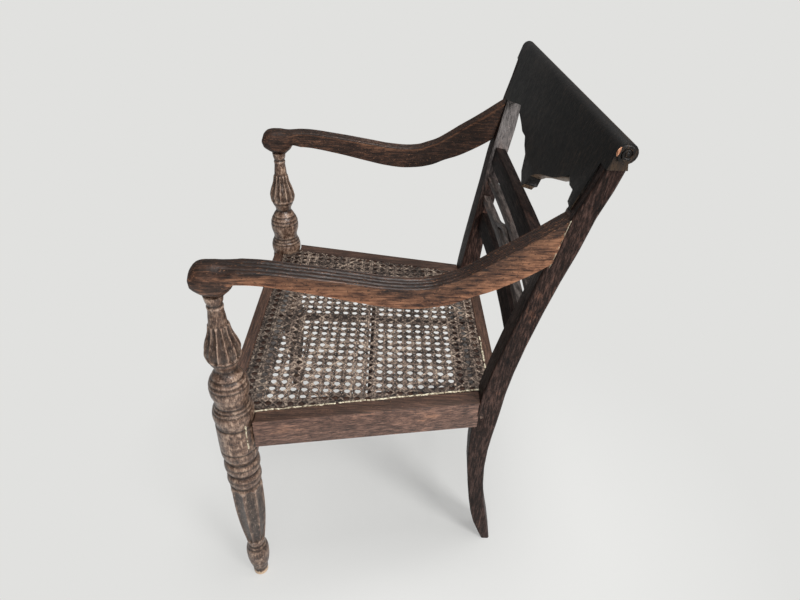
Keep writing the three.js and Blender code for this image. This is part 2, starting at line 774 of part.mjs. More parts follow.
const armTenonShares = [0.62, 0.88];
const postSocket = upright(legX, 0, armUnderside - overrun, armUnderside + postTenonHeight + clearance,
  postTenonDiameter / 2 + clearance);
const postCut = upright(legX, 0, armUnderside - postLength / 2, armUnderside + clearance, drumRadius);
const armEndCut = rearLegBody(clearance, scrollWidth);
const arm = armBody().subtract(armEndCut).subtract(postCut).add(armTenon(0)).subtract(postSocket);
addPair("arm", arm, armWood);

// Legs, with the mortises that their neighbours' tenons enter
addPair("front_leg", frontLegBody().subtract(frontRailTenon(clearance))
  .subtract(sideRailTenon(clearance)), darkWood);
let rearLeg = rearLegBody(0).subtract(sideRailTenon(clearance)).subtract(rearRailTenon(clearance))
  .subtract(armTenon(clearance)).subtract(pegSolid(clearance / 2));
for (const [, bar] of bars) {
  rearLeg = rearLeg.subtract(barTenon(bar, clearance));
}
addPair("rear_leg", rearLeg, darkWood);

// Cane: one flat net whose gaps follow the taper of the seat
function canePanel() {
  const [, [frontHalf, front], [backHalf, back]] = caneOutline(0);
  const lines = (count) => {
    const places = [0];
    for (let gap = 0; gap < count; gap += 1) {
      places.push((gap + (1 - caneGapShare) / 2) / count, (gap + (1 + caneGapShare) / 2) / count);
    }
    return [...places, 1];
  };
  const across = lines(caneColumns);
  const along = lines(caneRows);
  const positions = [];
  for (const z of [seatHeight - caneThickness, seatHeight]) {
    for (const v of along) {
      const half = frontHalf + (backHalf - frontHalf) * v;
      across.forEach((u) => positions.push(half * (u * 2 - 1), front + (back - front) * v, z));
    }
  }
  const layer = across.length * along.length;
  const index = [];
  const quad = (a, b, c, d) => index.push(a, b, c, a, c, d);
  const filled = (i, j) => {
    const inside = i >= 0 && j >= 0 && i < across.length - 1 && j < along.length - 1;
    return inside && !(i % 2 === 1 && j % 2 === 1);
  };
  for (let j = 0; j < along.length - 1; j += 1) {
    for (let i = 0; i < across.length - 1; i += 1) {
      if (filled(i, j)) {
        const corner = j * across.length + i;
        const ring = [corner, corner + 1, corner + across.length + 1, corner + across.length];
        quad(...ring.map((place) => place + layer));
        quad(...ring.slice().reverse());
        const sides = [[0, -1], [1, 0], [0, 1], [-1, 0]];
        sides.forEach(([right, up], side) => {
          if (!filled(i + right, j + up)) {
            const from = ring[side];
            const to = ring[(side + 1) % 4];
            quad(from, to, to + layer, from + layer);
          }
        });
      }
    }
  }
  const geometry = new THREE.BufferGeometry();
  geometry.setAttribute("position", new THREE.Float32BufferAttribute(positions, 3));
  geometry.setIndex(index);
  return toSolid(deform(geometry, slopeBack)).subtract(drumCut).subtract(drumCutRight)
    .subtract(rearLegCut).subtract(rearLegCutRight);
}

addPiece("cane_panel", canePanel(), cane);

const box = new THREE.Box3().setFromObject(group);
group.position.y = -(box.min.y + box.max.y) / 2;

export default group;
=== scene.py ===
# %% [markdown]
# An old open armchair in dark turned hardwood: scrolled arms on fluted posts, sabre rear legs, a barred
# back under a broken crest rail, and a caned seat. The CAD model gives every piece its place, so this
# lesson starts from it and gives each piece its finer surface and its finish.

# %% Load the fixed frame
import math
import random
import bpy
import numpy as np
from mathutils import Matrix, Vector


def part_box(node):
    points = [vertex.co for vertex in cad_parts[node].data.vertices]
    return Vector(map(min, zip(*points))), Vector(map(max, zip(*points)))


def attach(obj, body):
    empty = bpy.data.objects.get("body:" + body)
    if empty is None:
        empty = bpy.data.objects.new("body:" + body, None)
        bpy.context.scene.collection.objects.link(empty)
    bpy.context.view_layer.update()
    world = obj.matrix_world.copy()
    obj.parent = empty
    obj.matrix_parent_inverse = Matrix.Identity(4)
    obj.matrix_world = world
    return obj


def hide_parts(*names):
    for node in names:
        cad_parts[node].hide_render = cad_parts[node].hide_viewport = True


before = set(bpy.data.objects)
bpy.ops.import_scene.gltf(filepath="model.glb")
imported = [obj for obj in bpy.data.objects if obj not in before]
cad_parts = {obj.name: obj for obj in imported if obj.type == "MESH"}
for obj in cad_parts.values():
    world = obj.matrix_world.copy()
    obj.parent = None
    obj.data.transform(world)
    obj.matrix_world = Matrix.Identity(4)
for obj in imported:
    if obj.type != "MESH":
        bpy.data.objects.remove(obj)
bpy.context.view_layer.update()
MM = 0.001

# %% [markdown]
# The picture was taken from the sitter's left, from well above the seat, with a wide lens quite near.
# A camera can be turned by hand until it looks right, but small errors then show in every leg. Here its
# place and turn were worked out from the perspective of the legs, the seat rails and the stiles.

# %% Camera
front_leg_axis_y = (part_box("front_leg_left")[0][1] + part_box("front_leg_left")[1][1]) / 2
POST_Y = front_leg_axis_y / MM
camera_place = Vector((909.8 * MM, 231.1 * MM + front_leg_axis_y, 1112.9 * MM))
camera_yaw = math.radians(1.98)
camera_pitch = math.radians(-34.65)
camera_roll = math.radians(2.73)
picture_width_px = 800
focal_px = 571.8
sensor_mm = 36

forward = Vector((
    -math.cos(camera_yaw) * math.cos(camera_pitch),
    math.sin(camera_yaw) * math.cos(camera_pitch),
    math.sin(camera_pitch),
))
level_right = forward.cross(Vector((0, 0, 1))).normalized()
level_up = level_right.cross(forward)
right = math.cos(camera_roll) * level_right + math.sin(camera_roll) * level_up
up = math.cos(camera_roll) * level_up - math.sin(camera_roll) * level_right
camera_data = bpy.data.cameras.new("camera")
camera_data.sensor_width = sensor_mm
camera_data.lens = focal_px * sensor_mm / picture_width_px
camera = bpy.data.objects.new("camera", camera_data)
bpy.context.scene.collection.objects.link(camera)
camera.matrix_world = Matrix.Translation(camera_place) @ Matrix((right, up, -forward)).transposed().to_4x4()
bpy.context.scene.camera = camera
print("lens mm:", round(camera_data.lens, 2))

# %% [markdown]
# A colour picked on a screen is written as a web colour, but the renderer counts light, which is not
# the same number. This helper turns one into the other, so that colours can be written as they look.

# %% Colour
def colour(web):
    channels = [int(web[i:i + 2], 16) / 255 for i in (1, 3, 5)]
    linear = [c / 12.92 if c <= 0.04045 else ((c + 0.055) / 1.055) ** 2.4 for c in channels]
    return (*linear, 1.0)


print("screen grey #808080 as light:", round(colour("#808080")[0], 3))

# %% [markdown]
# A material is a small graph of nodes. It could be wired by hand in the shader editor. Here one function
# adds any node, sets it and links it, so that each finish reads from top to bottom like a recipe.

# %% One function for every node
def add(tree, kind, *values, output=0, stops=(), **names):
    """Names in lower case are settings and the others are inputs. Plain values fill the inputs in use
    in their order, and stops fill a colour ramp. What comes back is one output."""
    node = tree.nodes.new("ShaderNode" + kind)
    for name, value in names.items():
        if name.islower():
            setattr(node, name, value)
    pairs = list(zip([socket for socket in node.inputs if socket.enabled], values))
    named = [(name.replace("_", " "), value) for name, value in names.items() if not name.islower()]
    pairs += [(node.inputs[name], value) for name, value in named]
    for socket, value in pairs:
        if isinstance(value, bpy.types.NodeSocket):
            tree.links.new(value, socket)
        else:
            socket.default_value = value
    if stops:
        elements = node.color_ramp.elements
        while len(elements) < len(stops):
            elements.new(0.5)
        for element, (place, shade) in zip(elements, stops):
            element.position = place
            element.color = colour(shade) if isinstance(shade, str) else (shade, shade, shade, 1)
    if isinstance(output, str):
        return node.outputs[output]
    in_use = [socket for socket in node.outputs if socket.enabled]
    return in_use[output] if in_use else None


def new_material(name):
    material = bpy.data.materials.new(name)
    material.use_nodes = True
    material.node_tree.nodes.clear()
    print("material:", name)
    return material, material.node_tree


print("each material starts as an empty graph")

# %% [markdown]
# The chair stands on a pale studio sweep whose shade is even right across the picture, with only a faint
# soft shadow under the seat. A lit floor alone would darken away from the lamps. So the camera sees
# mostly the sweep's own colour, and a small share of real light and shadow is mixed in near the chair.

# %% Studio floor
SWEEP = "#E1E1DF"
FLOOR_METRES = 30
SHADOW_MIDDLE = (0.05, 0.12, 0)
SHADOW_REACH = 2.0
EVEN_SHARES = [(0.06, 0.44), (0.38, 1.0)]


def make_floor():
    bpy.ops.object.select_all(action="DESELECT")
    bpy.ops.mesh.primitive_plane_add(size=FLOOR_METRES, location=(0, 0, 0))
    floor = bpy.context.object
    floor.name = "studio_floor"
    # Matt painted paper sweep, rolled smooth: no grain and no shine, so it only shows light and shadow.
    material, tree = new_material("pale_studio_sweep")
    lit = add(tree, "BsdfDiffuse", Color=colour("#E0E0DE"))
    even = add(tree, "Emission", Color=colour(SWEEP), Strength=1.0)
    place = add(tree, "TexCoord", output="Object")
    away = add(tree, "VectorMath", place, SHADOW_MIDDLE, operation="DISTANCE")
    away = add(tree, "Math", away, 1 / SHADOW_REACH, operation="MULTIPLY")
    share = add(tree, "ValToRGB", away, stops=EVEN_SHARES)
    camera_ray = add(tree, "LightPath", output="Is Camera Ray")
    seen = add(tree, "Math", camera_ray, share, operation="MULTIPLY")
    add(tree, "OutputMaterial", Surface=add(tree, "MixShader", seen, lit, even))
    floor.data.materials.append(material)
    return floor


print("floor:", make_floor().name)

# %% [markdown]
# The light in the picture is soft and comes from behind the chair's left side and from above. Small
# lamps would draw hard edges, so each lamp is a wide disk, and its power was matched to the shadows.

# %% Lamps
SEAT_MIDDLE = (0, 0, 0.44)
# Each lamp as [name, place, width in metres, watts]
LAMPS = [
    ("key_lamp", (1.8, 1.5, 2.3), 0.9, 58),
    ("top_lamp", (0.2, 0.3, 2.9), 1.0, 46),
    ("side_fill_lamp", (2.6, -0.2, 1.3), 1.4, 12),
]
for name, place, width, watts in LAMPS:
    data = bpy.data.lights.new(name, "AREA")
    data.shape = "DISK"
    data.size = width
    data.energy = watts
    lamp = bpy.data.objects.new(name, data)
    bpy.context.scene.collection.objects.link(lamp)
    lamp.location = place
    lamp.rotation_euler = (Vector(SEAT_MIDDLE) - Vector(place)).to_track_quat("-Z", "Y").to_euler()
    print(name, watts, "W")

# %% [markdown]
# The air of the studio fills the shadows a little. The camera would see it as a grey band above the
# floor, so camera rays get the sweep's colour instead, and only the light on the chair uses the fill.

# %% World
FILL_STRENGTH = 0.22

world = bpy.data.worlds.new("studio_air")
bpy.context.scene.world = world
world.use_nodes = True
air = world.node_tree
air.nodes.clear()
fill = add(air, "Background", Color=colour("#F2F4F5"), Strength=FILL_STRENGTH)
pale = add(air, "Background", Color=colour(SWEEP), Strength=1.0)
camera_ray = add(air, "LightPath", output="Is Camera Ray")
add(air, "OutputWorld", Surface=add(air, "MixShader", camera_ray, fill, pale))
bpy.context.scene.view_settings.view_transform = "Standard"
print("world:", world.name, "fill", FILL_STRENGTH)

# %% [markdown]
# The wood is a dense tropical hardwood under an old near-black stain and worn shellac. Seen close, it is
# never one colour. A photograph could be wrapped round it, but noise that is drawn out along the grain
# fits any piece and has no seams. Five widths of it are laid over each other.

# %% Grain
# Each noise as [width in mm, length along the grain for a width of 1, detail, roughness]. Real grain is
# finer: streak, scratch and fleck are as fine as the picture shows, and mottle and patch are the clouds
# of the old stain.
GRAIN = {
    "streak": (2.8, 15, 4.0, 0.6),
    "scratch": (1.2, 26, 2.0, 0.5),
    "mottle": (8.0, 3.0, 8.0, 0.72),
    "patch": (34.0, 3.2, 5.0, 0.65),
    "fleck": (2.6, 1.5, 2.0, 0.5),
}
MAIN_SHARE, PATCH_SHARE, SCRATCH_SHARE = 0.78, 0.22, 0.22


def along_grain(tree, place, axis, width_mm, stretch, detail, rough):
    scale = [1 / (width_mm * MM)] * 3
    scale["XYZ".index(axis)] /= stretch
    spread = add(tree, "Mapping", Vector=place, Scale=scale)
    return add(tree, "TexNoise", Vector=spread, Scale=1.0, Detail=detail, Roughness=rough)


def grain_of(tree, axis, streaky, mottle_stretch):
    """The five noises by name, and the tone that they add up to."""
    place = add(tree, "TexCoord", output="Object")
    grain = {}
    for name, (width_mm, stretch, detail, rough) in GRAIN.items():
        stretch = mottle_stretch if name == "mottle" else stretch
        grain[name] = along_grain(tree, place, axis, width_mm, stretch, detail, rough)
    tone = add(tree, "Math", grain["mottle"], MAIN_SHARE - streaky, operation="MULTIPLY")
    tone = add(tree, "Math", grain["streak"], streaky, tone, operation="MULTIPLY_ADD")
    tone = add(tree, "Math", grain["patch"], PATCH_SHARE, tone, operation="MULTIPLY_ADD")
    tone = add(tree, "Math", tone, SCRATCH_SHARE / 2, operation="SUBTRACT")
    grain["tone"] = add(tree, "Math", grain["scratch"], SCRATCH_SHARE, tone, operation="MULTIPLY_ADD")
    return grain


print("widths of grain in mm:", {name: row[0] for name, row in GRAIN.items()})

# %% [markdown]
# Hands and feet rub the stain off in patches and along the arrises, down to red-brown wood. Wear could be
# painted on by hand as a picture. Here each piece marks its worn places with a number on each point, and
# the grain is added to it, so that a patch has no clean edge and ends in streaks.

# %% Stain rubbed through, and painted highlight
WORN_SHARE, STREAK_EDGE = 0.30, 0.35
WEAR_SPREAD = 0.6
RUBBED_STOPS = [(0.78, 0.0), (1.0, 1.0)]
ARRIS_STOPS = [(0.34, 0.35), (0.50, 1.0)]


def rubbed_through(tree, grain, wood, bare, wear):
    spread = add(tree, "Math", grain["patch"], WEAR_SPREAD, operation="MULTIPLY")
    spread = add(tree, "Math", grain["mottle"], WEAR_SPREAD, spread, operation="MULTIPLY_ADD")
    spread = add(tree, "Math", spread, wear, operation="ADD")
    worn = add(tree, "Attribute", attribute_name="worn", output="Fac")
    spread = add(tree, "Math", worn, WORN_SHARE, spread, operation="MULTIPLY_ADD")
    spread = add(tree, "Math", grain["streak"], STREAK_EDGE, spread, operation="MULTIPLY_ADD")
    rubbed = add(tree, "ValToRGB", spread, stops=RUBBED_STOPS)
    # On the turned legs this painted bare wood also stands for a painted highlight on beads, ridges and
    # flute arrises.
    bare_and_highlight = add(tree, "Attribute", attribute_name="bare_and_highlight", output="Fac")
    uneven = add(tree, "ValToRGB", grain["mottle"], stops=ARRIS_STOPS)
    bare_and_highlight = add(tree, "Math", bare_and_highlight, uneven, operation="MULTIPLY")
    either = add(tree, "Math", rubbed, bare_and_highlight, operation="MAXIMUM")
    bare_wood = add(tree, "ValToRGB", grain["tone"], stops=[(0.40, bare[0]), (0.60, bare[1])])
    return add(tree, "Mix", either, wood, bare_wood, data_type="RGBA")


print("stain wears through between", RUBBED_STOPS[0][0], "and", RUBBED_STOPS[1][0])

# %% [markdown]
# Dust settles on what faces up and turns the stain grey; on the narrow tops of the slats this grey is also
# a painted sheen. Torn wood shows where the crest broke off and faces down. Both could be painted, but they
# follow the way that the surface faces, which the renderer knows. Only the far stile has some painted grey
# as well, for dust and a painted sheen on its inner face.

# %% Dust, painted sheen and torn wood
GREY_DUST_AND_SHEEN_SHARE = 0.85
UPWARD_STOPS = [(0.35, 0.0), (0.8, 1.0)]
DUST_STOPS = [(0.36, 0.3), (0.60, 1.0)]
DOWNWARD_STOPS = [(0.5, 0.0), (0.7, 1.0)]


def dust_and_painted_sheen(tree, grain, wood, dust_and_sheen_grey, dust):
    facing = add(tree, "SeparateXYZ", add(tree, "NewGeometry", output="Normal"), output="Z")
    upward = add(tree, "ValToRGB", facing, stops=UPWARD_STOPS)
    uneven = add(tree, "ValToRGB", grain["mottle"], stops=DUST_STOPS)
    dust_and_sheen = add(tree, "Math", upward, uneven, operation="MULTIPLY")
    # Painted grey on a piece, for dust together with a painted sheen.
    grey_dust_and_sheen = add(tree, "Attribute", attribute_name="grey_dust_and_sheen", output="Fac")
    grey_dust_and_sheen = add(tree, "Math", grey_dust_and_sheen, GREY_DUST_AND_SHEEN_SHARE, operation="MULTIPLY")
    dust_and_sheen = add(tree, "Math", dust_and_sheen, dust, grey_dust_and_sheen, operation="MULTIPLY_ADD")
    grey = add(tree, "ValToRGB", grain["tone"], stops=[(0.38, dust_and_sheen_grey[0]), (0.62, dust_and_sheen_grey[1])])
    return add(tree, "Mix", dust_and_sheen, wood, grey, data_type="RGBA")


def torn_below(tree, grain, wood, torn):
    facing = add(tree, "SeparateXYZ", add(tree, "NewGeometry", output="Normal"), output="Z")
    below = add(tree, "Math", facing, -1.0, operation="MULTIPLY")
    below = add(tree, "ValToRGB", below, stops=DOWNWARD_STOPS)
    fibres = add(tree, "ValToRGB", grain["tone"], stops=[(0.42, torn[0]), (0.56, torn[1])])
    return add(tree, "Mix", below, wood, fibres, data_type="RGBA")


print("dust lies on faces that look up by more than", UPWARD_STOPS[0][0])

# %% [markdown]
# Dirt and painted shade darken the grooves, and knocks leave pale flecks, dark pits, scratches and
# chips down to fresh wood.
# Each could be modelled, but they are only a few millimetres across, so colour is enough. They come last,
# because they lie on everything else or cut through it.

# %% Dirt and painted shade, flecks, pits, scratches and chips
GRIME_AND_SHADE_SHARE, PIT_SHARE = 0.85, 0.8
PALE_FLECK_STOPS = [(0.66, 0.0), (0.70, 1.0)]
PIT_STOPS = [(0.31, 1.0), (0.37, 0.0)]
SCRATCH_STOPS = [(0.67, 0.0), (0.73, 1.0)]
CHIP_STOPS = [(0.78, 0.0), (0.84, 1.0)]
CHIP_PAINTED, CHIP_FLECKED = 0.55, 0.9
FRESH_WOOD = "#DDBD9C"


def knocked_about(tree, grain, wood, stains, bare, flecks):
    # Dirt and painted shade: grooves, hollows, front faces and the wood under the cane go toward the
    # darkest stain.
    grime_and_shade = add(tree, "Attribute", attribute_name="grime_and_shade", output="Fac")
    grime_and_shade = add(tree, "Math", grime_and_shade, GRIME_AND_SHADE_SHARE, operation="MULTIPLY")
    wood = add(tree, "Mix", grime_and_shade, wood, colour(stains[0]), data_type="RGBA")
    marks = [("fleck", PALE_FLECK_STOPS, flecks, bare[1]),
             ("fleck", PIT_STOPS, PIT_SHARE, stains[0]),
             ("scratch", SCRATCH_STOPS, flecks, bare[1])]
    for pattern, stops, share, web in marks:
        where = add(tree, "ValToRGB", grain[pattern], stops=stops)
        where = add(tree, "Math", where, share, operation="MULTIPLY")
        wood = add(tree, "Mix", where, wood, colour(web), data_type="RGBA")
    uneven = add(tree, "Math", grain["fleck"], CHIP_FLECKED, operation="MULTIPLY")
    chipped = add(tree, "Attribute", attribute_name="chipped", output="Fac")
    chipped = add(tree, "Math", chipped, CHIP_PAINTED, uneven, operation="MULTIPLY_ADD")
    chipped = add(tree, "ValToRGB", chipped, stops=CHIP_STOPS)
    return add(tree, "Mix", chipped, wood, colour(FRESH_WOOD), data_type="RGBA")


print("chips show", FRESH_WOOD)

# %% [markdown]
# One recipe now makes every wood of the chair: stain over grain, then rubbing, dust, dirt and knocks, some
# of them painted highlight, sheen and shade, under a thin shellac that is duller where the wood is dark.
# One material could serve all pieces, but they have not aged alike, so each kind of piece gets its own
# stain, wear and shine.

# %% Aged wood
DULLER_DARK, SHINIER_PALE = 0.14, 0.08
SHELLAC_IOR = 1.5
GRAIN_HEIGHT = 0.8 * MM
GRAIN_STRENGTH = 0.6
SCRATCH_RELIEF, STREAK_RELIEF = 0.4, 0.7


def aged_wood(name, axis, stains, bare, dust_and_sheen_grey, wear, dust, flecks, rough=0.42, shine=0.5, streaky=0.42,
              mottle_stretch=3.0, torn=None):
    material, tree = new_material(name)
    grain = grain_of(tree, axis, streaky, mottle_stretch)
    stain_stops = list(zip((0.38, 0.50, 0.62), stains))
    wood = add(tree, "ValToRGB", grain["tone"], stops=stain_stops)
    wood = rubbed_through(tree, grain, wood, bare, wear)
    wood = dust_and_painted_sheen(tree, grain, wood, dust_and_sheen_grey, dust)
    if torn:
        wood = torn_below(tree, grain, wood, torn)
    wood = knocked_about(tree, grain, wood, stains, bare, flecks)
    gloss_stops = [(0.36, rough + DULLER_DARK), (0.64, rough - SHINIER_PALE)]
    gloss = add(tree, "ValToRGB", grain["tone"], stops=gloss_stops)
    relief = add(tree, "Math", grain["streak"], STREAK_RELIEF, grain["fleck"], operation="MULTIPLY_ADD")
    relief = add(tree, "Math", grain["scratch"], SCRATCH_RELIEF, relief, operation="MULTIPLY_ADD")
    bump = add(tree, "Bump", Strength=GRAIN_STRENGTH, Distance=GRAIN_HEIGHT, Height=relief)
    skin = add(tree, "BsdfPrincipled", Base_Color=wood, Roughness=gloss, Normal=bump, IOR=SHELLAC_IOR,
               Specular_IOR_Level=shine)
    add(tree, "OutputMaterial", Surface=skin)
    return material


print("relief of the grain in mm:", GRAIN_HEIGHT / MM)

# %% [markdown]
# The seat frame is scuffed and dry, and the bars and stiles are darker and dirtier, since nobody rubs
# against them. Their colours could be read off the picture, but it holds light and shadow too, so they
# were changed step by step until the render's tones came close to the picture's.

# %% Woods of the seat frame and the back
WOODS = {}
# Stained hardwood, planed by hand and scuffed by legs: brown where rubbed, dull, with long streaks.
for axis in "XY":
    WOODS["rail_" + axis] = aged_wood(
        "worn_rail_hardwood_" + axis, axis, ("#2C1C16", "#62463A", "#946F5E"), ("#70452F", "#A87858"),
        ("#1A120E", "#523D31"), -0.06, 0.97, 0.25, streaky=0.52)
# The same wood out of reach of hands: near-black stain under dirt, which takes the shine away.
WOODS["bar"] = aged_wood(
    "back_bar_hardwood", "X", ("#0A0706", "#1C1210", "#3C2A25"), ("#4A2A1C", "#7E5340"),
    ("#100C0A", "#332A26"), -0.06, 0.8, 0.1, rough=0.6, shine=0.12)
# Thin planed slats: the same stain, greyed on their narrow tops by dust and a painted sheen.
WOODS["slat"] = aged_wood(
    "thin_slat_hardwood", "X", ("#0E0A09", "#2C201C", "#54443E"), ("#4A2A1C", "#7E5340"),
    ("#4A4440", "#8E8680"), -0.02, 0.7, 0.15, shine=0.3)
# Sawn and planed stiles: dark stain with red-brown wood showing in long narrow patches.
WOODS["stile"] = aged_wood(
    "sabre_stile_hardwood", "Z", ("#0A0605", "#2A1B16", "#553F38"), ("#4A281A", "#845842"),
    ("#4A4543", "#A09B99"), -0.13, 0.3, 0.15, rough=0.48, shine=0.15, streaky=0.5)
print("woods so far:", len(WOODS))

# %% [markdown]
# Turned work shows more bare wood, since its beads stand proud, and arms are rubbed by hands. The crest
# has gone almost black, and shows brown wood at its break and its worn edges. One wood with painted wear
# could serve them all, but the stains differ too much, so each gets its own.

# %% Woods of the legs, arms, crest and pegs
# Turned hardwood, smoothed on the lathe: pale on the beads from wear and a painted highlight, dark in the
# grooves from dirt and painted shade, with a soft sheen.
WOODS["leg"] = aged_wood(
    "turned_leg_hardwood", "Z", ("#1D120C", "#674D3E", "#B99B84"), ("#84604C", "#CDB5A2"),
    ("#3A2F29", "#8A7B70"), -0.05, 0.2, 0.35, rough=0.30, streaky=0.14, mottle_stretch=1.4)
# Carved and hand-rubbed hardwood: orange where sleeves and palms wore through, dark on the top.
WOODS["arm"] = aged_wood(
    "worn_arm_hardwood", "Y", ("#120B09", "#3B281F", "#6E4C3B"), ("#5F3624", "#AC7A5A"),
    ("#080504", "#281C15"), -0.07, 0.97, 0.35, shine=0.32)
# Thick blackened stain, nearly even, over a planed board, with brown fibres where the edge tore off.
WOODS["crest"] = aged_wood(
    "blackened_crest_hardwood", "Z", ("#040303", "#0B0907", "#261C14"), ("#2B1D13", "#5E4834"),
    ("#060505", "#1A1816"), -0.12, 0.8, 0.10, rough=0.46, shine=0.3, torn=("#3A2A20", "#8A7460"))
# A cut peg of stained hardwood, seen at its end: dry, and paler than the rail round it.
WOODS["peg"] = aged_wood(
    "peg_hardwood", "X", ("#3A2A22", "#6B5244", "#8E7768"), ("#7A5A48", "#AC917E"),
    ("#6B635B", "#A79D92"), 0.0, 0.3, 0.4)
print("woods:", len(WOODS))

# %% [markdown]
# Every mesh that is built here needs the same care: doubled points merged, faces turned outward and
# round parts shaded smooth. These helpers also read, move and paint the points of a piece in mm.

# %% Working on a mesh
MERGE_MM = 0.01


def deselect():
    bpy.ops.object.select_all(action="DESELECT")


def edit(piece):
    deselect()
    piece.select_set(True)
    bpy.context.view_layer.objects.active = piece
    bpy.ops.object.mode_set(mode="EDIT")
    bpy.ops.mesh.select_all(action="SELECT")


def close_and_smooth(piece, degrees):
    edit(piece)
    bpy.ops.mesh.remove_doubles(threshold=MERGE_MM * MM)
    bpy.ops.mesh.normals_make_consistent(inside=False)
    bpy.ops.object.mode_set(mode="OBJECT")
    bpy.ops.object.shade_smooth_by_angle(angle=math.radians(degrees))


def points_of(piece):
    flat = np.empty(len(piece.data.vertices) * 3)
    piece.data.vertices.foreach_get("co", flat)
    return flat.reshape(-1, 3) / MM


def move_points(piece, places):
    piece.data.vertices.foreach_set("co", (places * MM).ravel())
    piece.data.update()


def paint(piece, name, amounts):
    layer = piece.data.attributes.new(name, "FLOAT", "POINT")
    layer.data.foreach_set("value", np.clip(amounts, 0.0, 1.0))


print("points closer than", MERGE_MM, "mm are merged")

# %% [markdown]
# Every finished piece takes one material, moves with the chair's one body and hides the solids of the
# frame that it stands for, if it has any. It could be said for each piece in turn, but one helper can't
# forget a line.

# %% Finishing a piece
def finish_piece(piece, material, slot, *node_names):
    piece.data.materials.clear()
    piece.data.materials.append(material)
    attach(piece, "root")
    if node_names:
        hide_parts(*node_names)
    print(piece.name, "faces:", len(piece.data.polygons))


print("woods to choose from:", sorted(WOODS))

# %% [markdown]
# A turned outline is a smooth curve through a few measured points. An ordinary spline swings past its
# points and would thin a narrow neck, so this one takes the slope at each point from both neighbours and
# keeps it flat at a turning point.

# %% A smooth curve through measured points
def smooth_through(places, values, wanted):
    values = np.asarray(values, float)
    gaps = np.diff(places)[:, None]
    rises = np.diff(values, axis=0) / gaps
    same_way = rises[:-1] * rises[1:] > 0
    total = np.where(same_way, rises[:-1] + rises[1:], 1.0)
    inner = np.where(same_way, 2 * rises[:-1] * rises[1:] / total, 0.0)
    slopes = np.vstack([rises[:1], inner, rises[-1:]])
    spot = np.clip(np.searchsorted(places, wanted, side="right") - 1, 0, len(gaps) - 1)
    share = ((wanted - np.asarray(places)[spot]) / gaps[spot, 0])[:, None]
    rest = 1 - share
    return (values[spot] * (1 + 2 * share) * rest ** 2 + values[spot + 1] * (3 - 2 * share) * share ** 2
            + gaps[spot] * (slopes[spot] * share * rest ** 2 - slopes[spot + 1] * rest * share ** 2))


def soft_step(values, low, high):
    share = np.clip((values - low) / (high - low), 0.0, 1.0)
    return share * share * (3 - 2 * share)


print("halfway up a soft step:", soft_step(np.array([0.5]), 0, 1)[0])

# %% [markdown]
# Each front leg is one turned piece from foot to arm: a tapered fluted leg under a plain drum, then a
# post of ball, fluted vase and thin neck. A lathe turns one outline round an axis, so the outline is made
# first, from heights and radii, and narrow grooves are cut into it.

# %% Outline of a front leg
# Rows of [height, radius] in mm
LOWER_LEG = [(0, 10.5), (5, 13.8), (20, 14.2), (41.8, 18.6), (55.1, 20.3), (72.9, 21), (85.5, 19.8),
             (98, 15.5), (104.9, 16), (123.1, 18.5), (159.9, 23), (196.8, 26.3), (231, 28), (258, 28.3),
             (272, 28.2), (278, 26.2), (282.5, 24.8), (286, 25.8), (291, 28), (298, 29), (305, 28.3),
             (310, 26.2), (313.5, 25), (317, 26.2), (322, 28.6), (329, 29.8), (336, 29.5), (341.5, 27.6),
             (345.5, 25.8), (349, 26.4), (356, 29.4), (365, 30.7), (379.9, 31)]
DRUM = [(379.9, 31), (427.9, 31)]
POST = [(427.9, 31), (432.7, 29.7), (439.8, 31.4), (449.5, 32.4), (460, 30.7), (470, 26.7), (477, 25.6),
        (485, 27.2), (495, 29.8), (505, 30.3), (514, 29.2), (522, 26), (531, 21), (539, 16.7),
        (545, 17.2), (552, 20.6), (562, 25), (568, 26.6), (573, 27.3), (578, 26.6), (590, 23.4),
        (598, 20.3), (608, 17.4), (618.5, 15.8), (622, 13.6), (634, 12.4), (646, 11.3), (651, 12),
        (656, 11.2), (661, 12.6), (670, 14)]
# Rows of [height, depth] in mm
GROOVES = [(459, 1.0), (465, 1.0), (472, 1.0), (508, 0.9), (516, 0.9), (525, 0.9), (428.5, 1.6),
           (374, 1.2), (655, 0.9), (98, 0.9), (282.5, 0.8), (313.5, 0.8), (334, 0.7), (301, 0.7),
           (345.5, 0.8), (36, 0.9), (558, 1.4), (540, 0.8), (90, 0.6), (20, 0.6)]
POST_TOP = 670.0
OUTLINE_STEP, GROOVE_WIDTH = 1.6, 1.3


def leg_outline():
    outline = [(0.0, 0.0)]
    for stations in (LOWER_LEG, DRUM, POST):
        heights = [z for z, radius in stations]
        steps = max(3, round((heights[-1] - heights[0]) / OUTLINE_STEP))
        wanted = np.linspace(heights[0], heights[-1], steps)
        for z, (radius,) in zip(wanted, smooth_through(heights, [[r] for z, r in stations], wanted)):
            for level, depth in GROOVES:
                radius -= depth * math.exp(-((z - level) / GROOVE_WIDTH) ** 2)
            outline.append((radius, z))
    return outline + [(0.0, POST_TOP)]


print("points in the outline:", len(leg_outline()))

# %% [markdown]
# Flutes are cut after the turning, with a gouge: round in section, with round ends and a narrow arris
# between two of them. They could be cut with a boolean for each, but it is cleaner to push the points of
# the turned surface in by the gouge's depth.

# %% Flutes
# Rows of [count, lowest, highest, depth, length of the round end, how bare the arrises are, with a painted
# highlight]
FLUTES = [(8, 114, 276, 3.6, 9.0, 0.45), (12, 563, 621, 3.4, 6.0, 1.0)]
FLUTE_SHARE = 0.88
FLUTE_EDGE = 0.05
LEAST_HALF = 0.0001


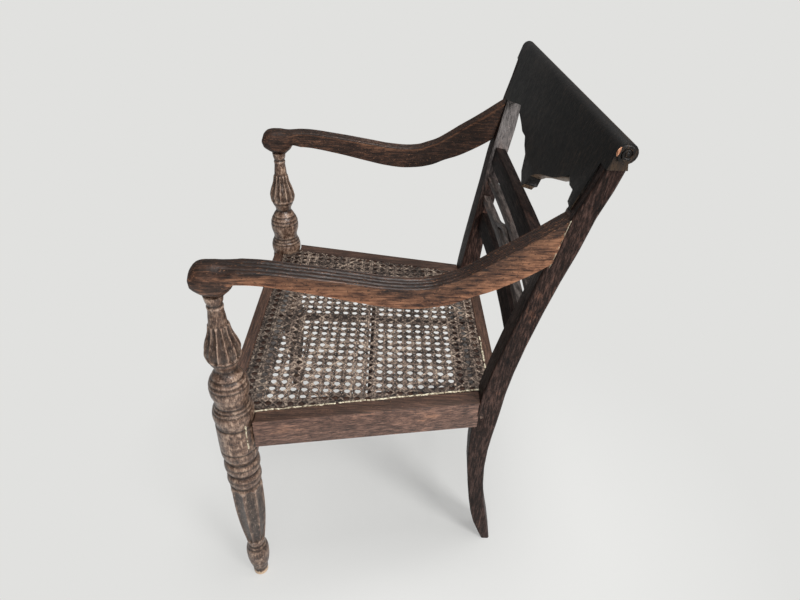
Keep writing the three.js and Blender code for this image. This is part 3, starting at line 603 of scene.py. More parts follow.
def flute_depth(angle, z):
    depth = np.zeros_like(z)
    edge = np.zeros_like(z)
    for count, low, high, deep, round_end, rubbed in FLUTES:
        across = np.abs((angle * count / (2 * np.pi)) % 1.0 - 0.5) * 2
        beyond = np.clip(np.maximum(low + round_end - z, z - high + round_end) / round_end, 0, 1)
        half = FLUTE_SHARE * np.sqrt(1 - beyond ** 2) + LEAST_HALF
        inside = np.clip(1 - (across / half) ** 2, 0, 1) * (z > low) * (z < high)
        depth += deep * np.sqrt(inside)
        edge += rubbed * (inside <= FLUTE_EDGE) * (z > low) * (z < high)
    return depth, edge


print("flutes:", [row[0] for row in FLUTES], "of depth", [row[3] for row in FLUTES])

# %% [markdown]
# In Blender the lathe is Extrude and Spin. The outline is drawn upward from one point, one extrusion for
# each of its points, and then spun once round the leg's axis.

# %% Spinning the outline
SPIN_STEPS = 96
TURNED_ANGLE = 50


def spun_outline(name, outline):
    deselect()
    bpy.ops.mesh.primitive_plane_add(size=MM, location=(0, 0, 0))
    leg = bpy.context.object
    leg.name = name
    bpy.ops.object.mode_set(mode="EDIT")
    bpy.ops.mesh.select_all(action="SELECT")
    bpy.ops.mesh.merge(type="CENTER")
    for (radius, z), (next_radius, next_z) in zip(outline, outline[1:]):
        step = ((next_radius - radius) * MM, 0, (next_z - z) * MM)
        bpy.ops.mesh.extrude_region_move(TRANSFORM_OT_translate={"value": step})
    bpy.ops.mesh.select_all(action="SELECT")
    bpy.ops.mesh.spin(steps=SPIN_STEPS, angle=2 * math.pi, center=(0, 0, 0), axis=(0, 0, 1))
    bpy.ops.object.mode_set(mode="OBJECT")
    close_and_smooth(leg, TURNED_ANGLE)
    return leg


print("sides of a turned leg:", SPIN_STEPS)

# %% [markdown]
# Wear and painted light on a turned leg follow its form. What stands proud of the outline 6 mm above and
# below is rubbed bare and gets a painted highlight, and so do the flute arrises and a thin ridge above some
# grooves. What lies deeper is dirty and gets painted shade, the lower leg is a little darker, and the foot
# is chipped by years of being dragged.

# %% Wear and painted light on a front leg
CROWN_REACH, CROWN_MOST = 6, 2.5
GROOVE_DARK_WIDTH = 2.0
RIDGE_ABOVE, RIDGE_WIDTH, RIDGED_GROOVES = 3, 1.2, 6
NECK_RING, NECK_RING_WIDTH = 651.5, 2.0
CHIPPED_FROM, CHIPPED_FULLY = -27, -5
DARKER_BELOW = (230, 290)


def paint_leg(leg, outline, z, depth, edge):
    grooves = sum(np.exp(-((z - level) / GROOVE_DARK_WIDTH) ** 2) for level, deep in GROOVES)
    # A thin ridge 3 mm above each of the first six grooves, painted pale as a highlight.
    ridge = sum(np.exp(-((z - level - RIDGE_ABOVE) / RIDGE_WIDTH) ** 2)
                for level, deep in GROOVES[:RIDGED_GROOVES])
    radii, heights = np.array(outline[1:-1]).T
    around = np.interp(z - CROWN_REACH, heights, radii) + np.interp(z + CROWN_REACH, heights, radii)
    crown = np.interp(z, heights, radii) - around / 2
    proud, sunk_dirt_and_shade = np.clip(crown, 0, CROWN_MOST), np.clip(-crown, 0, CROWN_MOST)
    ring = np.exp(-((z - NECK_RING) / NECK_RING_WIDTH) ** 2)
    # Pale: wear and painted highlight on flute arrises, proud beads and ridges, and wear on the neck ring.
    paint(leg, "bare_and_highlight", edge + 0.5 * ridge + 0.15 * proud + 0.9 * ring)
    # Dark: dirt and painted shade in the grooves, flute hollows and sunk parts, and a darkening towards the
    # bottom of the leg.
    hollow_dirt_and_shade = np.clip(depth / 3.0, 0, 1)
    darker_low = 1 - soft_step(z, *DARKER_BELOW)
    paint(leg, "grime_and_shade", 0.9 * grooves + 0.78 * hollow_dirt_and_shade + 0.3 * sunk_dirt_and_shade + 0.16 * darker_low)
    paint(leg, "chipped", soft_step(-z, CHIPPED_FROM, CHIPPED_FULLY))


print("the lowest", -CHIPPED_FROM, "mm of each foot are chipped")

# %% [markdown]
# The two legs are turned alike. The flutes are pressed in while the leg still stands on the middle axis,
# because depth is measured from there, and only then does it go to its place.

# %% Turned front legs
LEG_AXIS_X = 267.9


def turned_leg(node_name, side):
    outline = leg_outline()
    leg = spun_outline(node_name + "_turned", outline)
    places = points_of(leg)
    radius = np.hypot(places[:, 0], places[:, 1])
    angle = np.arctan2(places[:, 1], places[:, 0])
    z = places[:, 2].copy()
    depth, edge = flute_depth(angle, z)
    squeeze = np.where(radius > 1, (radius - depth) / np.maximum(radius, 1), 1.0)
    places[:, :2] *= squeeze[:, None]
    places += [side * LEG_AXIS_X, POST_Y, 0]
    move_points(leg, places)
    paint_leg(leg, outline, z, depth, edge)
    finish_piece(leg, WOODS["leg"], "stained_hardwood", node_name)


for side, hand in ((1, "left"), (-1, "right")):
    turned_leg("front_leg_" + hand, side)

# %% [markdown]
# An arm is carved from one plank: it starts in a barrel-shaped scroll over the post, dips like a
# saddle, and climbs to the stile. No turning or extrusion gives that, so it is lofted through cross
# sections that were measured on the photograph. Four flat reeds run along its top.

# %% Cross sections of an arm
ARM_REACH = 450.5
# Rows of [top y, top z, underside y, underside z, width, belly, crown, reeding], y from the post's axis
ARM_SECTIONS = [
    (-26, 696.5, -26, 695.5, 22, 4, 4, 0), (-25, 697, -25, 695.5, 31, 9, 9, 0),
    (-22, 698, -22, 696, 37, 15, 14, 0), (-16.5, 699.5, -16.5, 697, 41, 21, 18.5, 0),
    (-9, 701, -9, 698, 44, 26.5, 19.5, 0), (3, 702, 3, 699, 44, 30, 19, 0),
    (13, 704, 13, 700, 44, 31, 16, 0.2), (20, 707, 20, 701, 44, 26, 12, 0.4),
    (27, 711, 27, 701, 43, 18, 7, 0.6), (33, 714, 33, 700, 42, 6, 3.5, 0.8),
    (41, 716, 40, 699, 40, 2, 1.5, 1), (57, 716.5, 57, 698.5, 38, 1, 0.5, 1),
    (122, 710.5, 120.6, 688.7, 35, 1, 0.5, 1), (200, 700, 199, 672.2, 34, 1, 0.5, 1),
    (232, 695.5, 228, 666.7, 33, 1, 0.5, 1), (268, 693.6, 265, 663, 31.5, 1, 0.5, 1),
    (294, 696, 294, 665, 31, 1, 0.5, 1), (314, 702.5, 321, 670.8, 30, 1, 0.5, 1),
    (333, 710, 346, 682, 30, 1, 0.5, 1), (357, 725, 373, 692, 30, 1, 0.5, 1),
    (380, 741, 398, 704.5, 30, 1, 0.5, 1), (404, 756.5, 423, 719, 30, 1, 0.5, 1),
    (428, 773, 447, 735.5, 30, 1, 0.5, 1), (450, 789, 471, 756, 30, 1, 0.5, 1),
    (470, 803, 492, 778, 30, 1, 0.5, 1),
]
# The outer face runs from front to rear x. The solid's ends flush with the stile, about 8 mm further in.
ARM_FRONT_X, ARM_REAR_X = 290.0, 272.9
SCROLL_WIDTH, BULGE_POWER = 44, 0.42
REED_COUNT, REED_DEPTH, REED_POWER, REED_DIRT = 4, 1.9, 0.6, -0.45
# The underside lies lower on the inner side, from 20 mm behind the post and fully from 50 mm
INNER_DROP, DROP_FROM, DROP_LENGTH = 8.5, 20, 30
INNER_FACE_SHARES = [0.05, 0.11, 0.5]
INNER_DIRT = 0.65
SECTION_POINTS = 40


def arm_section(row):
    top_y, top_z, low_y, low_z, width, belly, crown, reed = row
    nose = (SCROLL_WIDTH - width) / 2 if top_y < 0 else 0.0
    outer = ARM_FRONT_X + (ARM_REAR_X - ARM_FRONT_X) * max(0.0, top_y) / ARM_REACH - nose
    up = np.array([top_y - low_y, top_z - low_z])
    up = up / np.linalg.norm(up)
    across = np.linspace(0, 1, SECTION_POINTS)
    bulge = (4 * across * (1 - across)) ** BULGE_POWER
    reeds = np.abs(np.sin(np.pi * REED_COUNT * across)) ** REED_POWER - 1
    drop = INNER_DROP * min(1.0, max(0.0, (top_y - DROP_FROM) / DROP_LENGTH)) * (1 - across)
    low = np.outer(-belly * bulge - drop, up) + [low_y, low_z]
    top = np.outer(crown * bulge + REED_DEPTH * reed * reeds * (bulge > 0.3), up) + [top_y, top_z]
    x = outer - width + across * width
    inner_face = top[0] + np.outer(INNER_FACE_SHARES, low[0] - top[0])
    ring = np.vstack([np.column_stack([x, low]), np.column_stack([x, top])[::-1],
                      np.column_stack([np.full(3, x[0]), inner_face])])
    groove = np.concatenate([np.zeros(SECTION_POINTS), (reed * (reeds < REED_DIRT))[::-1],
                             np.full(3, INNER_DIRT)])
    groove[0] = INNER_DIRT
    return ring, groove


print("sections measured:", len(ARM_SECTIONS))

# %% [markdown]
# A loft joins rings of points into a closed skin: four-sided faces between two rings, and one flat face
# at each end. Blender has no loft of its own, but it is a short loop, and the volutes use it too.

# %% Loft
def loft(name, rings):
    count, around = len(rings), len(rings[0])
    points = np.vstack(rings)
    faces = []
    for row in range(count - 1):
        for spot in range(around):
            after = (spot + 1) % around
            faces.append((row * around + spot, row * around + after,
                          (row + 1) * around + after, (row + 1) * around + spot))
    faces.append(tuple(range(around))[::-1])
    faces.append(tuple(range((count - 1) * around, count * around)))
    mesh = bpy.data.meshes.new(name)
    mesh.from_pydata((points * MM).tolist(), [], faces)
    piece = bpy.data.objects.new(name, mesh)
    bpy.context.scene.collection.objects.link(piece)
    return piece


print("a loft of", len(ARM_SECTIONS), "sections would be too coarse, so more are put between them")

# %% [markdown]
# Palms and sleeves wear the outer face of an arm, most of all low down, and its upper inner arris. This
# wear starts behind the scroll. Dirt stays in the reeds and on the inner face. Noise alone would put the
# wear anywhere, so it is painted on the rings of points, from where each point lies.

# %% Wear on an arm
OUTER_SKIN = 2.0
OUTER_WORN, OUTER_WORN_LOW = 0.62, 0.6
WORN_START, WORN_FADE, WORN_FADE_SHARE = (15, 60), (230, 400), 0.2
ARRIS_SPOTS, ARRIS_BARED, ARRIS_START = slice(79, 81), 0.75, (10, 50)
GROOVE_DIRT = 0.7


def paint_arm(arm, sections, rings):
    paint(arm, "grime_and_shade", np.concatenate([groove for ring, groove in sections]) * GROOVE_DIRT)
    arris = np.zeros(len(rings[0]))
    arris[ARRIS_SPOTS] = ARRIS_BARED
    worn, bare_and_highlight = [], []
    for ring in rings:
        behind = ring[:, 1] - POST_Y
        outer = np.abs(ring[:, 0]) > np.abs(ring[:, 0]).max() - OUTER_SKIN
        low = 1 - (ring[:, 2] - ring[:, 2].min()) / np.ptp(ring[:, 2])
        fade = 1 - WORN_FADE_SHARE * soft_step(behind, *WORN_FADE)
        rubbed = np.where(outer, OUTER_WORN + OUTER_WORN_LOW * low, 0.0)
        worn.append(rubbed * soft_step(behind, *WORN_START) * fade)
        bare_and_highlight.append(arris * soft_step(behind, *ARRIS_START))
    paint(arm, "worn", np.concatenate(worn))
    paint(arm, "bare_and_highlight", np.concatenate(bare_and_highlight))


print("wear starts", WORN_START[0], "mm behind the post")

# %% [markdown]
# The measured sections are joined by a smooth curve, and the last ones are cut off along the slope of the
# stile that the arm butts against. One arm could be mirrored, but each nose was fitted on its own, and
# they differ by a few millimetres.

# %% Scrolled arms
# Rows of [height, how far the stile's front face lies behind the post's axis]
STILE_FRONT = [(640, 430.0), (670, 434.8), (700, 439.8), (730, 446.2), (760, 453.2), (790, 458.7),
               (820, 466.2)]
NOSE_STRETCH = {1: 1.04, -1: 1.22}
ARM_RINGS, ARM_SET_IN, CARVED_ANGLE = 170, 0.5, 38


def carved_arm(node_name, side):
    rows = np.array(ARM_SECTIONS)
    middle = (rows[:, :2] + rows[:, 2:4]) / 2
    run = np.concatenate([[0], np.cumsum(np.hypot(*np.diff(middle, axis=0).T))])
    wanted = np.linspace(0, run[-1], ARM_RINGS)
    sections = [arm_section(row) for row in smooth_through(run, rows, wanted)]
    rings = [ring + [0, POST_Y, 0] for ring, groove in sections]
    heights, fronts = zip(*STILE_FRONT)
    for ring in rings:
        ring[:, 0] *= side
        ahead = np.minimum(ring[:, 1] - POST_Y, 0)
        ring[:, 1] += ahead * (NOSE_STRETCH[side] - 1)
        stile = np.interp(ring[:, 2], heights, fronts) + POST_Y + ARM_SET_IN
        ring[:, 1] = np.minimum(ring[:, 1], stile)
    arm = loft(node_name + "_carved", rings)
    paint_arm(arm, sections, rings)
    close_and_smooth(arm, CARVED_ANGLE)
    finish_piece(arm, WOODS["arm"], "worn_arm_hardwood", node_name)


for side, hand in ((1, "left"), (-1, "right")):
    carved_arm("arm_" + hand, side)

# %% [markdown]
# The rails, bars, stiles and battens are sawn and planed, and the frame already has their true outline.
# They could be drawn again, but a copy of each solid's mesh is exact. Its flat faces are joined, and its
# arrises get a small worn round from the Bevel modifier, which is what makes old wood look handled.

# %% Copying a planed piece
JOIN_MM, FLAT_DEGREES, ARRIS_DEGREES, SMOOTH_DEGREES = 0.02, 0.6, 30, 34
ARRIS_SEGMENTS = 3


def copy_of_node(node_name, piece_name):
    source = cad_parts[node_name]
    piece = bpy.data.objects.new(piece_name, source.data.copy())
    bpy.context.scene.collection.objects.link(piece)
    edit(piece)
    bpy.ops.mesh.remove_doubles(threshold=JOIN_MM * MM)
    bpy.ops.mesh.dissolve_limited(angle_limit=math.radians(FLAT_DEGREES))
    bpy.ops.object.mode_set(mode="OBJECT")
    return piece


def worn_edges(piece, width_mm):
    bevel = piece.modifiers.new("worn_arris", "BEVEL")
    bevel.width = width_mm * MM
    bevel.segments = ARRIS_SEGMENTS
    bevel.limit_method = "ANGLE"
    bevel.angle_limit = math.radians(ARRIS_DEGREES)
    bevel.use_clamp_overlap = True
    deselect()
    piece.select_set(True)
    bpy.context.view_layer.objects.active = piece
    bpy.ops.object.modifier_apply(modifier=bevel.name)
    bpy.ops.object.shade_smooth_by_angle(angle=math.radians(SMOOTH_DEGREES))


print("nodes in the frame:", len(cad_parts))

# %% [markdown]
# Two kinds of piece differ a little from their solids. The side rails look wider in the photograph, so
# the points of their outer face move out. The torn edge of the crest is splintery, so its points are
# shifted sideways by small uneven steps.

# %% Rail faces and the torn edge
# The solids' outer faces are flush with the stiles at half their height, and these lie 5 mm further out
RAIL_OUTSET, RAIL_SKIN = 5.0, 6
RAIL_FRONT_X, RAIL_REAR_X, RAIL_LENGTH = 279.0, 200.0, 416.0
TORN_BELOW, TORN_WITHIN = 853, 262


def widen_outside(piece):
    places = points_of(piece)
    side = np.sign(places[:, 0].mean())
    outer = RAIL_FRONT_X + (RAIL_REAR_X - RAIL_FRONT_X) / RAIL_LENGTH * (places[:, 1] - POST_Y)
    places[:, 0] += side * RAIL_OUTSET * (side * places[:, 0] > outer - RAIL_SKIN)
    move_points(piece, places)


def splinter_break(piece):
    places = points_of(piece)
    z = places[:, 2]
    torn = (z < TORN_BELOW) * (np.abs(places[:, 0]) < TORN_WITHIN)
    places[:, 0] += torn * (1.6 * np.sin(1.1 * z) + 1.2 * np.sin(2.3 * z + 1))
    move_points(piece, places)


print("rail faces move out by", RAIL_OUTSET, "mm")

# %% [markdown]
# Wear and painted light on the planed pieces follow the way that a face looks and where it is: painted
# shade on the front of the back, painted shadow on the wood under the cane, worn patches down the stiles,
# dust with a painted sheen on the far stile, and bare ends on the crest.

# %% Wear and painted light on the planed pieces
# Rows of [height, half length, amount]
STILE_PATCHES = [(822, 8, 0.7), (785, 6, 0.7), (712, 12, 0.9), (640, 8, 0.5), (560, 10, 0.4)]
CANE_FRONT_HALF, CANE_NARROWING, CANE_DEPTH = 261, 76, (-2.5, 414)
FRONT_FACING, FRONT_SHADE = -0.75, 0.7
STILE_DUST_AND_SHEEN, DUST_AND_SHEEN_HEIGHTS = 0.85, (600, 740)
CREST_END_X, CREST_END_TOP, END_BARED = 285, 882, 0.5
ROLL_BACK_FROM, ROLL_BARED = 896, 0.8


def paint_planed(piece, node_name):
    facing = np.empty(len(piece.data.vertices) * 3)
    piece.data.vertex_normals.foreach_get("vector", facing)
    facing, places = facing.reshape(-1, 3), points_of(piece)
    # Painted shadow: rails and battens are darkened under the cane, where the cane shades them.
    if node_name.startswith(("seat_rail", "batten")):
        depth = places[:, 1] - POST_Y
        half = CANE_FRONT_HALF - CANE_NARROWING / RAIL_LENGTH * depth
        shade_under_cane = (np.abs(places[:, 0]) < half) * (depth > CANE_DEPTH[0]) * (depth < CANE_DEPTH[1])
        paint(piece, "grime_and_shade", shade_under_cane)
    # Painted shade: faces of the top and bottom bars and of the stiles that look to the front get little
    # light, so they are darkened.
    if node_name.startswith(("back_bar_top", "back_bar_bottom", "rear_leg")):
        paint(piece, "grime_and_shade", FRONT_SHADE * (facing[:, 1] < FRONT_FACING))
    if node_name.startswith("rear_leg"):
        patches = sum(much * np.exp(-((places[:, 2] - z) / wide) ** 2) for z, wide, much in STILE_PATCHES)
        paint(piece, "worn", patches * (np.abs(facing[:, 0]) > 0.5))
    # Painted sheen with dust: the inner face of the far stile turns grey, more so higher up.
    if node_name == "rear_leg_right":
        dust_and_sheen = soft_step(places[:, 2], *DUST_AND_SHEEN_HEIGHTS)
        paint(piece, "grey_dust_and_sheen", STILE_DUST_AND_SHEEN * (facing[:, 0] > 0.5) * dust_and_sheen)
    if node_name == "crest_rail":
        at_end = (np.abs(facing[:, 0]) > 0.7) * (np.abs(places[:, 0]) > CREST_END_X)
        ends = at_end * (places[:, 2] < CREST_END_TOP)
        roll_back = (places[:, 2] > ROLL_BACK_FROM) * (facing[:, 1] > 0.1) * (facing[:, 2] > 0.2)
        paint(piece, "bare_and_highlight", END_BARED * ends + ROLL_BARED * roll_back)


print("worn patches on each stile:", len(STILE_PATCHES))

# %% [markdown]
# Now each planed piece is made in turn, with the wood and the round of its own.

# %% Sawn and planed pieces
# Each node as [wood, slot, width of the worn arris in mm]
PLANED = {
    "seat_rail_front": ("rail_X", "seat_rail_hardwood", 2.2),
    "seat_rail_rear": ("rail_X", "seat_rail_hardwood", 2.2),
    "seat_rail_left": ("rail_Y", "seat_rail_hardwood", 2.4),
    "seat_rail_right": ("rail_Y", "seat_rail_hardwood", 2.4),
    "batten_length": ("rail_Y", "seat_rail_hardwood", 0.8),
    "batten_cross": ("rail_X", "seat_rail_hardwood", 0.8),
    "back_bar_top": ("bar", "stained_hardwood", 2.2),
    "back_bar_upper": ("slat", "stained_hardwood", 2.0),
    "back_bar_lower": ("slat", "stained_hardwood", 2.0),
    "back_bar_bottom": ("bar", "stained_hardwood", 2.2),
    "back_oval": ("slat", "stained_hardwood", 1.8),
    "rear_leg_left": ("stile", "stained_hardwood", 1.6),
    "rear_leg_right": ("stile", "stained_hardwood", 1.6),
    "seat_peg_left": ("peg", "peg_wood", 0.6),
    "seat_peg_right": ("peg", "peg_wood", 0.6),
    "crest_rail": ("crest", "blackened_crest", 1.6),
}
for node_name, (wood, slot, edge) in PLANED.items():
    piece = copy_of_node(node_name, node_name + "_planed")
    if node_name in ("seat_rail_left", "seat_rail_right"):
        widen_outside(piece)
    worn_edges(piece, edge)
    if node_name == "crest_rail":
        splinter_break(piece)
    paint_planed(piece, node_name)
    finish_piece(piece, WOODS[wood], slot, node_name)

# %% [markdown]
# The rolled top of the crest ends in a carved volute on each side: a ridge that winds in to a small
# boss. It could be cut with a boolean, but a tapering tube wound on a spiral and pressed half its depth
# into the end of the roll looks the same and keeps a clean mesh.

# %% A tube along a line
def tube(points, radii, sides=8):
    points = np.asarray(points)
    ways = np.gradient(points, axis=0)
    ways /= np.linalg.norm(ways, axis=1)[:, None]
    rings = []
    for point, way, radius in zip(points, ways, radii):
        first = np.cross(way, (1.0, 0.0, 0.0))
        first /= np.linalg.norm(first)
        second = np.cross(way, first)
        turn = np.linspace(0, 2 * np.pi, sides, endpoint=False)
        rings.append(point + radius * (np.outer(np.cos(turn), first) + np.outer(np.sin(turn), second)))
    return rings


print("rings of a short tube:", len(tube([(0, 0, 0), (0, 0, 1)], [1, 1])))

# %% [markdown]
# The spiral makes not quite one and a half turns, and gets thinner as it winds in. A flattened ball is
# joined to its end as the boss.

# %% Volutes
ROLL_Y, ROLL_Z, ROLL_RADIUS = 500.5, 892.2, 12.5
CREST_HALF = 290.0
VOLUTE_TURNS, VOLUTE_START, VOLUTE_POINTS = 1.45, 2.4, 80
RIM_INSET, INNERMOST = 2.2, 3.6
RIDGE_THICK, RIDGE_THIN, RIDGE_SINK = 2.7, 1.9, 0.2
BOSS_RADIUS, BOSS_FLAT = 2.8, 0.7
VOLUTE_WORN, VOLUTE_ANGLE = 0.55, 60


def volute(side):
    turn = np.linspace(0.0, VOLUTE_TURNS * 2 * np.pi, VOLUTE_POINTS)
    reach = np.interp(turn, [0, turn[-1]], [ROLL_RADIUS - RIM_INSET, INNERMOST])
    x = np.full_like(turn, side * (CREST_HALF - RIDGE_SINK))
    y = ROLL_Y + POST_Y + reach * np.cos(turn + VOLUTE_START)
    z = ROLL_Z - reach * np.sin(turn + VOLUTE_START)
    radii = np.interp(turn, [0, turn[-1]], [RIDGE_THICK, RIDGE_THIN])
    ridge = loft("crest_volute", tube(np.column_stack([x, y, z]), radii))
    deselect()
    bpy.ops.mesh.primitive_uv_sphere_add(segments=20, ring_count=12, radius=BOSS_RADIUS * MM,
                                         location=(0, 0, 0))
    boss = bpy.context.object
    places = points_of(boss) * [BOSS_FLAT, 1, 1] + [side * CREST_HALF, ROLL_Y + POST_Y, ROLL_Z]
    move_points(boss, places)
    boss.select_set(True)
    ridge.select_set(True)
    bpy.context.view_layer.objects.active = ridge
    bpy.ops.object.join()
    ridge.name = "crest_volute_" + ("left" if side > 0 else "right")
    close_and_smooth(ridge, VOLUTE_ANGLE)
    paint(ridge, "worn", np.full(len(ridge.data.vertices), VOLUTE_WORN))
    finish_piece(ridge, WOODS["crest"], "blackened_crest")


for side in (1, -1):
    volute(side)

# %% [markdown]
# A splinter has come off the near scroll and left a scar of fresh wood. It is a short thick tube with
# pointed ends, bent along the front of the roll, in a finish of its own.

# %% Splinter scar
SCAR_POINTS, SCAR_SIDES, SCAR_ANGLE = 12, 6, 50
SCAR_REACH, SCAR_PROUD = 11.3, 0.4
SCAR_THIN, SCAR_THICK = 0.5, 1.7
FIBRE_MM, FIBRE_STRETCH = 1.2, 6
FIBRE_STOPS = [(0.38, "#8A5438"), (0.60, "#DCA582")]


def fresh_break():
    # Bare torn hardwood, never planed or stained: pinkish tan, matt, with raised fibres.
    material, tree = new_material("fresh_broken_wood")
    place = add(tree, "TexCoord", output="Object")
    fibre = along_grain(tree, place, "Z", FIBRE_MM, FIBRE_STRETCH, 3.0, 0.6)
    base = add(tree, "ValToRGB", fibre, stops=FIBRE_STOPS)
    bump = add(tree, "Bump", Strength=0.5, Distance=0.4 * MM, Height=fibre)
    skin = add(tree, "BsdfPrincipled", Base_Color=base, Roughness=0.8, Normal=bump, IOR=1.45)
    add(tree, "OutputMaterial", Surface=skin)
    return material


lean = np.linspace(-0.35, 0.75, SCAR_POINTS)
scar_line = np.column_stack([np.full(SCAR_POINTS, CREST_HALF + SCAR_PROUD),
                             ROLL_Y + POST_Y - SCAR_REACH * np.cos(lean),
                             ROLL_Z + SCAR_REACH * np.sin(lean)])
scar_radii = SCAR_THIN + SCAR_THICK * np.sin(np.linspace(0.1, 3.0, SCAR_POINTS))
splinter = loft("crest_splinter_scar", tube(scar_line, scar_radii, SCAR_SIDES))
close_and_smooth(splinter, SCAR_ANGLE)
finish_piece(splinter, fresh_break(), "blackened_crest")

# %% [markdown]
# The seat is woven from split rattan in the six-way pattern: pairs of strands run front to back and
# side to side, and single strands cross them both ways at a slant, which leaves small eight-sided
# holes. A picture of cane on a flat sheet would look flat from this near, so every strand is a ribbon.
# First each line is cut off where it meets the edge of the seat.

# %% Cutting a strand at the edge of the seat
SEAT_OUTLINE = np.array([(-264.0, -3.4), (264.0, -3.4), (188.0, 416.0), (-188.0, 416.0)])
EDGE_INSET, SHORTEST = 1.0, 8
FAR_OFF, NEARLY_ALONG = 1000.0, 1e-9


def clipped(start, way):
    near, far = -FAR_OFF, FAR_OFF
    for corner, following in zip(SEAT_OUTLINE, np.roll(SEAT_OUTLINE, -1, axis=0)):
        side = following - corner
        inward = np.array([-side[1], side[0]]) / np.hypot(*side)
        reach, slope = np.dot(start - corner, inward) - EDGE_INSET, np.dot(way, inward)
        if abs(slope) < NEARLY_ALONG:
            if reach < 0:
                return None
        elif slope > 0:
            near = max(near, -reach / slope)
        else:
            far = min(far, -reach / slope)
    return (near, far) if far - near > SHORTEST else None


print("the middle strand is cut to", [round(v, 1) for v in clipped(np.zeros(2), np.array([0.0, 1.0]))])

# %% [markdown]
# Each strand is a thin flat ribbon with a crowned skin. It rises and dips at every crossing, as it passes
# over one strand and under the next, and the seat falls a little toward the back.

# %% One strand
PITCH_X, PITCH_Y = 17.1, 17.9
STRAND_WIDTH, SLANT_WIDTH, STRAND_THICK = 3.7, 3.4, 0.8
WEAVE_RISE = 0.45
# Corners of the ribbon as [share of half the width, share of half the thickness]
RIBBON = ((-1, -1), (1, -1), (1, 0.2), (0, 1), (-1, 0.2))


def cane_height(y):
    return 439.3 - 7 / 392 * y


def strand(start, way, width, lift, phase):
    span = clipped(start, way)
    if not span:
        return None
    spots = np.linspace(*span, max(3, round((span[1] - span[0]) / (PITCH_Y / 2)) + 1))
    side = np.array([-way[1], way[0]])
    rings = []
    for order, spot in enumerate(spots):
        middle = start + way * spot
        z = cane_height(middle[1]) + lift + WEAVE_RISE * math.cos(math.pi * order + phase)
        half = width / 2 * (1 + 0.08 * math.sin(spot * 0.11 + start[0]))
        edges = [(middle + side * s * half, z + t * STRAND_THICK / 2) for s, t in RIBBON]
        rings.append([(p[0], p[1] + POST_Y, h) for p, h in edges])
    return rings


print("the cane falls by", round(cane_height(0) - cane_height(392), 1), "mm to the back")

# %% [markdown]
# All strands that run one way become one mesh. Each strand gets a tint of its own, since no two canes
# split alike, dirt with painted shade on its sides and in its dips, and a darkening along the front and the
# near border of the seat.

# %% Skin, dirt and painted shade of many strands
# Painted shade with dirt: the sides of a strand and every second point, where it dips, are darkened.
EDGE_DIRT_AND_SHADE = np.array([0.9, 0.9, 0.5, 0.0, 0.5])
DIP_DIRT_AND_SHADE = (0.4, 0.9)
FRONT_BORDER, NEAR_BORDER = (0.45, 18, 48), (0.35, 6, 20)
RIBBON_ANGLE = 40


def ribbon_mesh(name, lines):
    points, faces = [], []
    for rings in lines:
        if not rings:
            continue
        around, first = len(rings[0]), len(points)
        points += [p for ring in rings for p in ring]
        for row in range(len(rings) - 1):
            for spot in range(around):
                after = (spot + 1) % around
                low, high = first + row * around, first + (row + 1) * around
                faces.append((low + spot, low + after, high + after, high + spot))
        faces.append(tuple(range(first, first + around))[::-1])
        last = first + (len(rings) - 1) * around
        faces.append(tuple(range(last, last + around)))
    mesh = bpy.data.meshes.new(name)
    mesh.from_pydata((np.array(points) * MM).tolist(), [], faces)
    piece = bpy.data.objects.new(name, mesh)
    bpy.context.scene.collection.objects.link(piece)
    return piece


def woven(name, lines, border_darkening=1.0):
    piece = ribbon_mesh(name, lines)
    rng = np.random.default_rng(7)
    dirt, tint = [], []
    for rings in lines:
        if rings:
            dip = (np.arange(len(rings)) % 2) * rng.uniform(*DIP_DIRT_AND_SHADE)
            dirt.append((dip[:, None] + EDGE_DIRT_AND_SHADE[None, :]).ravel())
            tint.append(np.full(dirt[-1].shape, rng.uniform(0, 1)))
    places = points_of(piece)
    depth = places[:, 1] - POST_Y
    rim = 264 - 76 / 419 * (depth + 3.4) - places[:, 0]
    # The strands are darker along the front and the near border of the seat.
    border = (FRONT_BORDER[0] * (1 - soft_step(depth, *FRONT_BORDER[1:]))
              + NEAR_BORDER[0] * (1 - soft_step(rim, *NEAR_BORDER[1:])))
    paint(piece, "grime_and_shade", np.concatenate(dirt) + border * border_darkening)
    paint(piece, "tint", np.concatenate(tint))
    close_and_smooth(piece, RIBBON_ANGLE)
    return piece


print("dirt on a strand's corners:", EDGE_DIRT_AND_SHADE.tolist())

# %% [markdown]
# The holes of the seat frame give the pitch: a pair of strands between two holes each way, and a slanted
# strand from hole to hole. Small random shifts keep the pairs from looking machine-made.

# %% Lines of the six-way weave
FIRST_HOLE_Y, PAIR_OFFSET, UNEVEN = 12.5, 2.2, 0.3
LENGTHWISE_LIFT, CROSSWISE_LIFT, SLANTED_LIFT = -0.3, 0.0, 0.35
PAIR_PHASE, SLANT_PHASE = 3.1, 1.7


